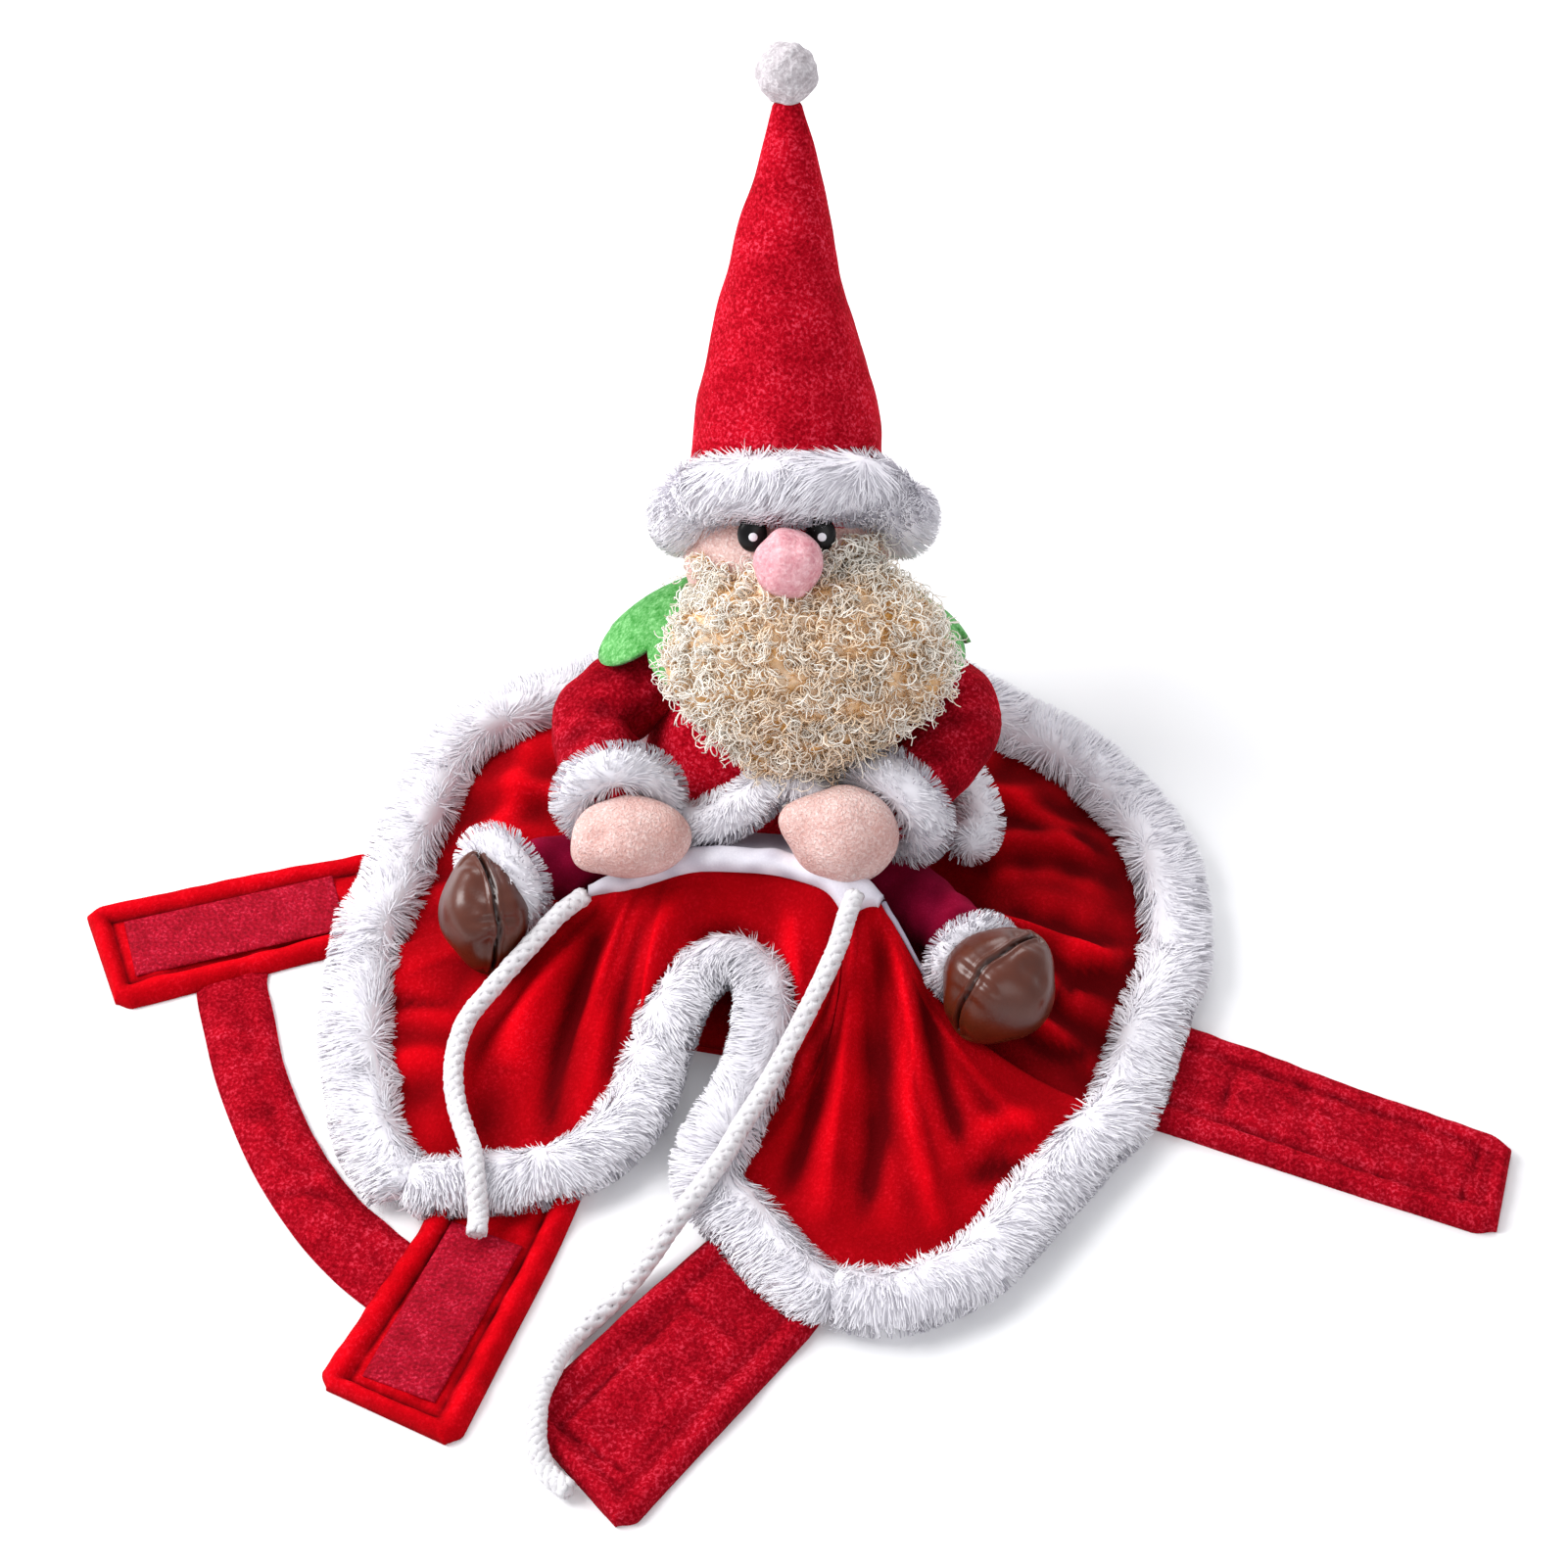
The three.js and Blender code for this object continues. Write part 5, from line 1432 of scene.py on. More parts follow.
    def make(self) -> None:
        """Builds the panels, the lining and both trims."""
        front = self.front().build("front_panel_velvet", finish(CAPE_VELVET))
        dress(front, ["front_panel"])
        back = self.back().build("back_panel_velvet", finish(CAPE_VELVET))
        dress(back, ["back_panel"])
        lining = self.lining().build("lining_roll", finish(WHITE_LINING))
        dress(lining, ["lining_edge"])
        hem = self.trim(HEM, np.full(len(HEM), self.trim_across), -1, self.hem_tufts, 21)
        dress(hem.build("hem_fur_pile", finish(WHITE_FUR)), ["hem_fur"])
        neck = self.trim(NECK, NECK[:, 3], 1, self.neck_tufts, 31)
        dress(neck.build("neck_fur_pile", finish(WHITE_FUR)), ["neck_fur"])


def fur_on(
    tube: Tube, cut: FurCut, count: int, seed: int, sideways: float = 0.0,
    low: float = 0.0, high: float = TURN, inner: float = 0.8, flow: float = 0.35,
) -> Shape:
    """Fur all over a soft roll.

    Args:
        tube: the roll at its full fur size.
        cut: how the fur is cut.
        count: number of tufts.
        seed: for the random draws.
        sideways: how much the fur is combed to the roll's side, less than nothing for the other side.
        low: angle round the roll where the fur starts.
        high: angle where it ends.
        inner: size of the backing as a share of the roll.
        flow: how much the fur is combed along the roll.

    Returns:
        The fur and its backing in one shape.
    """
    rng = np.random.default_rng(seed)
    lump = lambda points, *_: waves(points, 9, seed) * 0.5
    base = tube.shape(max(60, len(tube.centre) // 3), 14, inner, lump)
    share, angle = tube.even(count, rng), rng.uniform(low, high, count)
    roots, away = tube.surface(share, angle, inner)
    full, _ = tube.surface(share, angle, 1.0)
    _, side, rise, _, up = tube.read(share)
    ahead = np.cross(rise, side)
    spread = side * (side * away).sum(1, keepdims=True)
    if not tube.closed:
        length = np.linalg.norm(np.diff(tube.centre, axis=0), axis=1).sum()
        pick = rng.uniform(size=(count, 1)) < 2 * up.mean() / (length + 2 * up.mean())
        nearer = np.where(share > 0.5, 1.0, 0.0)
        at, end_side, end_rise, _, _ = tube.read(nearer)
        disc = np.sqrt(rng.uniform(size=(count, 1)))
        beyond = np.cross(end_rise, end_side) * (2 * nearer - 1)[:, None]
        cap = (tube.surface(nearer, angle)[0] - at) * disc
        cap = cap + beyond * np.sqrt(1 - disc ** 2) * up[:, None] * 0.6
        roots, full = np.where(pick, at + cap * inner, roots), np.where(pick, at + cap, full)
        away = np.where(pick, unit(cap + 1e-6), away)
    room = np.linalg.norm(full - roots, axis=1, keepdims=True)
    drift = waves(roots, cut.swirl * 1.5, seed + 9)[:, None]
    down = np.array([0, 0, 0.25])
    comb = unit(side * sideways * 0.7 + spread * 0.9 + ahead * drift * flow * 1.3 - down)
    shape = fibres(roots, away, comb, cut, seed)
    strands = shape.points.reshape(-1, RIBBON_POINTS, 3)
    reach = ((strands - roots[:, None]) * away[:, None]).sum(-1)
    over = np.maximum(reach - (room + 1.2), 0)
    strands -= away[:, None] * over[..., None]
    strands[..., 2] = np.maximum(strands[..., 2], 0.25)
    shape.points = strands.reshape(-1, 3)
    base.points[:, 2] = np.maximum(base.points[:, 2], 0.1)
    # The backing is painted part way to the root colour: painted shade under the tufts.
    base.shade = np.full(len(base.points), 0.8)
    base.normals = unit(base.points - tube.centre[nearest_of(tube.centre, base.points)])
    return base.joined(shape)


# Straps, tapes and chest strip

# Both edges of each strap from its root under the fur to its far end
STRAPS = {name: np.array(rows, float) for name, rows in {
    "belly_strap_left": [
        [-129, -1, -128, -45], [-145, -5, -141, -50], [-186, -26, -171, -68], [-229, -48, -203, -87]],
    "belly_strap_right": [
        [139, -17, 136, -61], [160, -21, 155, -64], [208, -33, 203, -73], [262, -45, 259, -83]],
    "neck_strap_left": [
        [-77, -132, -30, -119], [-78, -150, -33, -150], [-86, -182, -39, -188], [-94, -213, -45, -226]],
    "neck_strap_right": [
        [19, -128, 55, -153], [10, -141, 52, -164], [-10, -175, 33, -202], [-30, -211, 12, -244]],
}.items()}
TAPES = {
    "loop_tape_belly": ((-143, -27.4), (-207, -62.4)),
    "loop_tape_neck": ((-56, -150), (-67.5, -211)),
    "hook_tape_belly": ((168, -45), (249, -62)),
    "hook_tape_neck": ((23, -167), (-4, -219)),
}
CHEST_STRIP = np.array([
    [-171, -55, 12, 2.4], [-169, -68, 12, 3], [-161, -84, 12, 5], [-149, -106, 11.5, 5],
    [-130, -132, 11.5, 5], [-110, -152, 12, 5], [-93, -164, 13, 3], [-79, -172, 13, 2.4],
], float)
STRIP_CREASES = (
    Crease(((-128, -150), (-112, -146), (-100, -152)), -1.6, 2.2, 2.2),
    Crease(((-170, -80), (-152, -88)), -0.9, 3.0, 3.0),
    Crease(((-150, -122), (-136, -118)), -0.7, 2.6, 2.6),
)


class Facing(Enum):
    """Which side of a strap's tape looks up."""

    LOOPS = "loops"
    PLUSH = "plush"


@dataclass
class Strap:
    """A strap with a puffed border, a stitched groove inside it and an inset bed."""

    name: str
    facing: Facing
    tape: str
    bed: float = 3.4
    thick: float = 6.0
    border: float = 8.5
    tip: float = 7.0
    tape_width: float = 25.0

    def plan(self, u: Array, v: Array) -> Array:
        """Plan points for shares of the strap's length and width."""
        rows = smooth_rows(STRAPS[self.name], u.ravel() * 3).reshape(*u.shape, 4)
        share = (0.5 + (v - 0.5) * (1 - 0.16 * ramp(0.93, 1, u)))[..., None]
        return rows[..., :2] * (1 - share) + rows[..., 2:] * share

    def tape_line(self) -> tuple[Array, float, Array, Array]:
        """The tape's middle line.

        Returns:
            Its start, its length, its direction and the direction across it.
        """
        start, end = (np.array(p, float) for p in TAPES[self.tape])
        ahead = unit(end - start)
        return start, float(np.linalg.norm(end - start)), ahead, np.array([ahead[1], -ahead[0]])

    def frame(self, plan: Array) -> tuple[Array, Array]:
        """Distances of plan points from the tape's start and from its middle line."""
        start, _, ahead, side = self.tape_line()
        return (plan - start) @ ahead, (plan - start) @ side

    def shape(self) -> Shape:
        """The strap's closed cloth.

        Returns:
            The shape.
        """
        t = np.linspace(0, 1, 36)
        across = 0.5 - 0.5 * np.cos(math.pi * t)
        along = np.concatenate([np.linspace(0, 0.86, 50), 1 - 0.14 * np.linspace(1, 0, 16)[1:] ** 1.5])
        u, v = np.meshgrid(along, across, indexing="ij")
        plan = self.plan(u, v)
        wide = np.linalg.norm(self.plan(u, v * 0) - self.plan(u, v * 0 + 1), axis=-1)
        half = np.full(1, 0.5)
        long = np.linalg.norm(self.plan(np.ones(1), half) - self.plan(np.zeros(1), half))
        edge = np.minimum((1 - np.abs(2 * v - 1)) * wide / 2, (1 - u) * long * self.border / self.tip)
        roll = np.sin(math.pi * np.clip(edge / self.border, 0, 1))
        low = np.where(edge < self.border / 2, 1.2, self.bed - 0.7)
        puff = low + (self.thick - low) * roll ** 0.62
        inside = ramp(self.border, self.border + 4, edge)
        height = puff + inside * 0.9
        if self.facing is Facing.PLUSH:
            height = height * 0.86 + self.bed * 0.14
            d, s = self.frame(plan)
            _, reach, _, _ = self.tape_line()
            box = np.minimum(np.minimum(d, reach - d), self.tape_width / 2 - np.abs(s))
            seam = np.exp(-((box / 0.9) ** 2)) * 1.5
            stitch = 0.75 + 0.25 * np.sin((d + s) * TURN / 2.4)
            height = height - seam * stitch + ramp(0, 4, box) * 0.5
            uneven = waves(np.concatenate([plan, plan[..., :1]], -1), 6, 5)
            height = height + np.where(box > 1, uneven * 0.3, 0)
        else:
            seam = np.exp(-(((edge - self.border) / 0.8) ** 2)) * 0.7
            height = height - seam * (0.7 + 0.3 * np.sin((plan[..., 0] + plan[..., 1]) * TURN / 2.6))
        seed = sum(map(ord, self.name))
        points = np.concatenate([plan, height[..., None]], -1)
        flat = points * [1, 1, 0]
        height = height + waves(flat, 8, seed) * 0.35 + waves(flat, 21, seed + 1) * 0.4
        points[..., 2] = np.maximum(height, 0.9)
        under = points.copy()
        under[..., 2] = np.where(points[..., 2] > 2, 0.02, 0.3)
        # Painted shade: darker in the grooves and hollows, full on the puffs.
        return shell(points, under, fold_shade(height, 3, 2.6, 0.66)).turned_out()

    def tape_shape(self, lift: float, thick: float, fine: float) -> Shape:
        """Loop tape: a band with rows of small loops across it.

        Args:
            lift: height of its lower side.
            thick: its thickness.
            fine: mesh points in each half millimetre.

        Returns:
            The shape.
        """
        start, length, ahead, side = self.tape_line()
        d, s = np.meshgrid(
            np.linspace(0, length, int(length * 2 * fine)),
            np.linspace(-0.5, 0.5, int(34 * fine)) * self.tape_width, indexing="ij")
        plan = start + d[..., None] * ahead + s[..., None] * side
        wander = 0.7 * np.sin(s * 0.9 + d * 0.07) + 0.4 * np.sin(s * 2.3 + d * 0.2)
        rows = np.abs(np.sin(math.pi * (d + wander) / 2.1))
        knots = 0.5 + 0.5 * np.sin(TURN * s / 1.7 + np.floor((d + wander) / 2.1) * 1.9)
        rim = np.minimum(np.minimum(d, length - d), self.tape_width / 2 - np.abs(s))
        loops = (rows * 0.3 + knots * rows * 0.45) * ramp(0.6, 2.2, rim)
        height = lift + thick * 0.55 + loops - 0.5 * ramp(1.0, 0, rim)
        stitch = np.exp(-(((rim - 1.6) / 0.5) ** 2)) * (0.3 + 0.25 * np.sin((d + s) * TURN / 2.2))
        height = height - stitch
        top = np.concatenate([plan, height[..., None]], -1)
        under = np.concatenate([plan, np.full_like(height, lift)[..., None]], -1)
        # Painted shade: darker between the rows of loops, lighter on their tops.
        return shell(top, under, np.clip(0.35 + rows * 0.4 + knots * 0.35, 0, 1)).turned_out()

    def make(self) -> None:
        """Builds the strap and its tape."""
        cloth = CAPE_VELVET if self.facing is Facing.LOOPS else SUIT_PLUSH
        strap = self.shape().build(f"{self.name}_plush", finish(cloth))
        dress(strap, [self.name])
        if self.facing is Facing.LOOPS:
            tape = self.tape_shape(3.8, 1.2, 0.85).build(f"{self.tape}_loops", finish(TAPE_NYLON))
        else:
            tape = self.tape_shape(0.3, 0.2, 0.25).build(f"{self.tape}_hooks", finish(TAPE_NYLON))
        dress(tape, [self.tape])


@dataclass
class ChestStrip:
    """Narrow plush strip from the belly strap to the neck strap."""

    def make(self) -> None:
        """Builds the strip with its rolled long edges and the crease at its bend."""
        place = np.linspace(0, 7, 100)
        data = smooth_rows(CHEST_STRIP, place)
        ahead = unit(np.gradient(data[:, :2], axis=0))
        side = np.stack([ahead[:, 1], -ahead[:, 0]], -1)
        v = 0.5 - 0.5 * np.cos(math.pi * np.linspace(0, 1, 24))
        spread = data[:, 2:3] * (2 * v - 1)
        plan = data[:, None, :2] + side[:, None] * spread[..., None]
        puff = np.maximum(0.3, np.sin(math.pi * v) ** 0.45)
        valley = 0.22 * np.exp(-(((v - 0.46) / 0.16) ** 2))
        height = data[:, 3:4] * 1.05 * (puff - valley)
        for crease in STRIP_CREASES:
            height = height + crease.raise_at(plan)
        top = np.concatenate([plan, height[..., None]], -1)
        top[..., 2] = np.maximum(height + waves(top * [1, 1, 0], 9, 77) * 0.35, 0.7)
        under = top.copy()
        under[..., 2] = np.where(top[..., 2] > 2, 0.02, 0.25)
        # Painted shade: darker in the crease and the hollows.
        shape = shell(top, under, fold_shade(top[..., 2], 3, 2.6, 0.7)).turned_out()
        strip = shape.build("chest_strip_plush", finish(SUIT_PLUSH))
        dress(strip, ["chest_strip"])


# Rider's suit: right, forward and up from the seat, then half sizes

JACKET = [
    [0, -2, -10, 50, 35], [0, -1, 8, 54, 38], [0, 0, 28, 50, 37], [0, 0, 46, 45, 33],
    [0, 0, 62, 40, 29], [0, 0, 76, 30, 24], [0, 0, 86, 18, 16],
]
SLEEVES = {
    "sleeve_left": [
        [-34, 0, 60, 14.5, 14.5], [-51, 2, 50, 15.5, 15.5], [-65, 9, 40, 15.5, 15.5],
        [-63, 24, 32, 14.5, 14.5], [-57, 38, 26, 13, 13], [-55, 44, 23, 12, 12]],
    "sleeve_right": [
        [36, 0, 61, 14.5, 14.5], [50, 2, 51, 15, 15], [59, 10, 41, 15, 15],
        [50, 24, 30, 14.5, 14.5], [38, 36, 22, 13, 13], [33, 42, 19, 12, 12]],
}
LEGS = {
    "leg_left": [[-28, 24, 15, 13, 10.5], [-44, 10, 15.5, 13, 11], [-62, -4, 18, 12, 11],
                 [-77, -17, 22, 11, 11], [-84, -29, 25, 10, 10]],
    "leg_right": [[30, 22, 15, 13, 10.5], [46, 10, 16, 13, 11], [62, -3, 19, 12, 11],
                  [75, -15, 23, 11, 11], [83, -25, 25, 10, 10]],
}
JACKET_FURS = {
    "jacket_fur_front": [[-34, 5.2, 34.6, 7], [-20, 2.6, 40.2, 8.8], [-8, 7.5, 46, 8.5], [5, 17, 53, 8],
                         [19, 12, 49, 8], [34, 9, 38, 7]],
    "jacket_fur_back": [[-61, 21, 18, 7], [-65, 38, 13, 9], [-57, 61, 13, 9], [-36, 79, 13, 9],
                        [0, 88, 13, 9], [37, 81, 13, 9], [58, 66, 13, 9], [68, 47, 14, 9], [68, 31, 21, 9]],
}
JACKET_TUFTS = {"jacket_fur_front": 4000, "jacket_fur_back": 5000}


def rider_rows(rows: Sequence) -> Array:
    """Rows of a tube, given right, forward and up from the rider's seat, in the table's frame."""
    data = np.array(rows, float)
    return np.c_[on_rider(data[:, :3]), data[:, 3:]]


@dataclass
class Suit:
    """The rider's stuffed jacket, sleeves, trousers, felt collar and jacket fur."""

    collar_up: float = 52.0
    collar_half: tuple[float, float, float] = (64.5, 38.0, 39.5)
    petals: int = 8
    felt: float = 1.8

    def jacket(self) -> Shape:
        """Jacket body.

        Returns:
            The shape.
        """
        def relief(p: Array, away: Array, share: Array, angle: Array) -> Array:
            """Soft gathers at the waist and under the arms."""
            pleats = np.sin(angle * 11 + 2 * np.sin(share * 9)) * 0.5 * ramp(0.5, 0.2, share)
            return waves(p, 22, 41) * 0.8 + waves(p, 8, 42) * 0.25 + pleats - 0.5
        shape = Tube.through(rider_rows(JACKET)).shape(52, 72, 1.0, relief)
        shape.points[:, 2] = np.maximum(shape.points[:, 2], 3.6)
        return shape

    def sleeve(self, rows: Sequence, seed: int) -> Shape:
        """Sleeve.

        Args:
            rows: its stations.
            seed: for its unevenness; an even seed bends it to the other side.

        Returns:
            The shape.
        """
        def relief(p: Array, away: Array, share: Array, angle: Array) -> Array:
            """Creases inside the elbow and small gathers at the cuff."""
            inner = 0.5 + 0.5 * np.cos(angle - (0.0 if seed % 2 else math.pi))
            elbow = np.exp(-(((share - 0.5) / 0.2) ** 2))
            creases = np.sin(share * 46 + np.sin(angle * 2) * 1.4) * elbow * inner
            cuff = np.sin(angle * 9 + 3 * share) * 0.45 * ramp(0.7, 1, share)
            return creases * 0.9 + cuff + waves(p, 14, seed) * 0.6 - 0.5
        shape = Tube.through(rider_rows(rows)).shape(66, 50, 1.0, relief)
        # Painted shade: the sleeves are painted darker than the jacket, as they face down, with random
        # unevenness.
        shape.shade = np.clip(0.62 + waves(shape.points, 12, seed + 5) * 0.2, 0, 1)
        return shape

    def leg(self, rows: Sequence, seed: int) -> Shape:
        """Trouser leg.

        Args:
            rows: its stations.
            seed: for its unevenness.

        Returns:
            The shape.
        """
        def relief(p: Array, away: Array, share: Array, angle: Array) -> Array:
            """Cross wrinkles near the ankle."""
            wrinkles = np.sin(share * 38 + np.cos(angle) * 2) * 0.35 * ramp(0.25, 0.6, share)
            return wrinkles + waves(p, 11, seed) * 0.5 - 0.3
        shape = Tube.through(rows).shape(56, 40, 1.0, relief)
        shape.shade = np.clip(0.75 + waves(shape.points, 12, seed + 5) * 0.2, 0, 1)
        shape.points[:, 2] = np.maximum(shape.points[:, 2], 3.6)
        return shape

    def collar(self) -> Shape:
        """Felt collar of petals laid over the shoulders.

        Returns:
            The shape.
        """
        u, v = np.meshgrid(np.linspace(0, TURN, 201)[:-1], np.linspace(0, 1, 12), indexing="xy")
        cos = np.cos(u)
        petal = np.abs(np.sin(self.petals * (u - math.radians(-97)) / 2)) ** 0.7
        neck = 0.5 + 0.1 * np.abs(cos) + 0.25 * np.maximum(0, cos)
        reach = neck + (1.02 + 0.29 * petal + 0.12 * np.maximum(0, cos) - neck) * v
        wave = waves(np.stack([u * 40, v * 20, u * 0], -1), 16, 9) * 0.5 * v + 0.5 * petal * v
        layers = []
        for extra in (self.felt, 0.0):
            a, b, c = (half + extra + wave for half in self.collar_half)
            out = np.sin(reach)
            place = [a * out * np.sin(u), b * out * cos, self.collar_up + c * np.cos(reach)]
            layers.append(on_rider(np.stack(place, -1)))
        columns, rows = u.shape[1], u.shape[0]
        count = rows * columns
        faces = grid_faces(columns, rows, wrap=True)
        faces += [tuple(count + i for i in reversed(f)) for f in faces]
        for start, flip in ((0, False), ((rows - 1) * columns, True)):
            k = start + np.arange(columns)
            n = np.roll(k, -1)
            rim = np.stack([n, k, k + count, n + count], -1)
            faces += [tuple(f[::-1]) if flip else tuple(f) for f in rim.tolist()]
        points = np.concatenate([layer.reshape(-1, 3) for layer in layers])
        return Shape(points, faces, np.tile((0.65 + 0.25 * v).ravel(), 2)).turned_out()

    def make(self) -> None:
        """Builds every piece of the suit."""
        jacket = self.jacket().build("jacket_plush", finish(SUIT_PLUSH))
        dress(jacket, ["jacket"])
        for seed, (name, rows) in enumerate(SLEEVES.items(), 50):
            sleeve = self.sleeve(rows, seed).build(f"{name}_plush", finish(SUIT_PLUSH))
            dress(sleeve, [name])
        for seed, (name, rows) in enumerate(LEGS.items(), 60):
            leg = self.leg(rows, seed).build(f"{name}_felt", finish(CRIMSON_FELT))
            dress(leg, [name])
        collar = self.collar().build("collar_felt", finish(GREEN_FELT))
        dress(collar, ["collar"])
        for seed, (name, rows) in enumerate(JACKET_FURS.items(), 70):
            data = np.array(rows, float)
            tube = Tube.through(np.c_[data, data[:, 3]])
            fur = fur_on(tube, SHORT_CUT, JACKET_TUFTS[name], seed, sideways=0.2)
            dress(fur.build(f"{name}_pile", finish(WHITE_FUR)), [name])


# Cuffs, hands, ankles and boots


@dataclass(frozen=True)
class Hand:
    """A stuffed mitten on the rider's axes.

    Attributes:
        palm: middle of the palm.
        half: its half sizes.
        thumb: direction of the thumb's point.
        thumb_rise: how far it stands out.
        pucker: direction of the small dent where the mitten is sewn up.
    """

    palm: tuple[float, float, float]
    half: tuple[float, float, float]
    thumb: tuple[float, float, float]
    thumb_rise: float
    pucker: tuple[float, float, float]


@dataclass(frozen=True)
class Boot:
    """A stuffed boot on its own axes: across, towards the viewer, and along its seam.

    Attributes:
        centre: in the table's frame.
        half: half sizes along the three axes.
        tilt: roll of the axes in degrees.
        seam: sine of the angle between the seam and the axis towards the viewer.
        dents: direction, width as an angle, and depth in millimetres of each soft hollow.
    """

    centre: tuple[float, float, float]
    half: tuple[float, float, float]
    tilt: float
    seam: float
    dents: tuple[tuple[tuple[float, float, float], float, float], ...]


@dataclass
class Limbs:
    """Hands in fur cuffs and boots in fur bands.

    Attributes:
        cuffs: middle, direction, radius and half thickness of each, on the rider's axes.
        ankles: the same for the ankle bands, in the table's frame.
        hands: the two hands.
        boots: the two boots.
        cuff_tufts: number of tufts on each cuff.
        ankle_tufts: number of tufts on each ankle band.
    """

    cuffs: dict[str, tuple] = field(default_factory=lambda: {
        "cuff_left": ((-56, 41, 24.5), (2, 16, -9), 14.0, 8.8),
        "cuff_right": ((35, 40, 21), (-14, 16, -9), 14.0, 9.5)})
    ankles: dict[str, tuple] = field(default_factory=lambda: {
        "ankle_fur_left": ((-83.2, -25.6, 28.6), (-12, -18, 3), 12.0, 7.8),
        "ankle_fur_right": ((77.6, -22, 22.4), (16, -17, 3), 10.5, 7.0)})
    hands: dict[str, Hand] = field(default_factory=lambda: {
        "hand_left": Hand((-51.5, 56, 15.8), (20, 14.5, 13.8), (-0.75, 0.2, -0.5), 2.5, (-0.5, 0.8, 0.3)),
        "hand_right": Hand((19, 57, 16.6), (18, 15, 17), (-0.93, 0.1, 0.36), 5.5, (0.4, 0.8, -0.4))})
    boots: dict[str, Boot] = field(default_factory=lambda: {
        "boot_left": Boot((-85.8, -39.9, 27.2), (15.5, 19, 19.5), 6, 0.42, (
            ((0.05, 0.85, 0.5), 0.34, 2.2), ((-0.15, 0.9, -0.05), 0.3, 1.2), ((0.1, 0.8, -0.75), 0.22, 1.4))),
        "boot_right": Boot((89, -35, 27.5), (19.5, 19, 19.5), -40, -0.5, (
            ((0.1, 0.8, 0.6), 0.2, 1.4), ((0.45, 0.7, 0.55), 0.18, 1.2), ((0.3, 0.9, -0.1), 0.5, 1.2)))})
    cuff_tufts: int = 4000
    ankle_tufts: int = 2800

    def ring(self, name: str, tube: Tube, count: int, seed: int) -> None:
        """Builds one ring of fur whose tufts lean away from the limb's end."""
        fur = fur_on(tube, SHORT_CUT, count, seed, sideways=0.3, inner=0.76)
        dress(fur.build(f"{name}_pile", finish(WHITE_FUR)), [name])

    def hand(self, spec: Hand) -> Shape:
        """Palm with its thumb's point and its pucker.

        Args:
            spec: the hand's sizes.

        Returns:
            The shape.
        """
        thumb, pucker = unit(np.array(spec.thumb)), unit(np.array(spec.pucker))

        def push(way: Array) -> Array:
            """Heights of the thumb's point, the dent and the unevenness."""
            point = np.exp(-((np.arccos(np.clip(way @ thumb, -1, 1)) / 0.42) ** 2)) * spec.thumb_rise
            dent = np.exp(-((np.arccos(np.clip(way @ pucker, -1, 1)) / 0.16) ** 2)) * 1.2
            return point - dent + waves(way * 15, 13, 5) * 0.4
        return Ball(on_rider(spec.palm), np.array(spec.half, float)).shape(44, 64, push)

    def boot(self, spec: Boot) -> Shape:
        """Boot of two leatherette halves that meet in a drawn seam from point to point.

        Args:
            spec: the boot's sizes.

        Returns:
            The shape, dark in its seam.
        """
        look = unit(np.array([0.14, -0.65, 0.745]))
        roll = np.array(Matrix.Rotation(math.radians(spec.tilt), 3, look.tolist()))
        axes = unit(np.array([[0.978, 0.208, 0], [0.14, -0.65, 0.745], [-0.155, 0.727, 0.669]])) @ roll.T
        lie = math.asin(spec.seam)
        half = np.array(spec.half, float)

        def offset(way: Array) -> Array:
            """Distances from the seam in millimetres, less than nothing on its left."""
            from_seam = (way[:, 0] * math.cos(lie) - way[:, 1] * math.sin(lie)) * half[0]
            behind = ramp(0.05, -0.25, way[:, 1] * math.cos(lie) + way[:, 0] * math.sin(lie)) * 40
            return from_seam + 0.5 * np.sin(way[:, 2] * 7 + 1) + np.sign(from_seam) * behind

        def push(way: Array) -> Array:
            """Heights of the seam's groove and lips, its puckers and the soft hollows."""
            gap = offset(way)
            run = np.arcsin(np.clip(way[:, 2], -1, 1))
            groove = 1.8 * np.exp(-((gap / 0.55) ** 2)) + 1.6 * np.exp(-((gap / 4.5) ** 2))
            lip = 0.9 * np.exp(-(((np.abs(gap) - 1.5) / 0.8) ** 2))
            beat = run * 11 + 2.0 * np.sin(run * 4 + 0.6)
            beside = np.exp(-(((np.abs(gap) - 4.5) / 4) ** 2))
            puckers = (np.sin(beat) + 0.5 * np.sin(beat * 1.7 + 1)) * beside * 0.34
            hollow = sum(
                depth * np.exp(-((np.arccos(np.clip(way @ unit(np.array(to)), -1, 1)) / wide) ** 2))
                for to, wide, depth in spec.dents)
            point = 1.8 * np.abs(way[:, 2]) ** 7 - 3.5 * way[:, 2] ** 2 * (1 - way[:, 2] ** 2)
            return point + lip - groove + puckers - hollow + waves(way * 14, 10, 3) * 0.3 + 0.4
        shape = Ball(np.array(spec.centre, float), half - 0.6, axes).shape(96, 120, push)
        way = unit((shape.points - np.array(spec.centre)) @ axes.T / half)
        shape.shade = 1 - 0.95 * np.exp(-((offset(way) / 0.8) ** 2))
        return shape

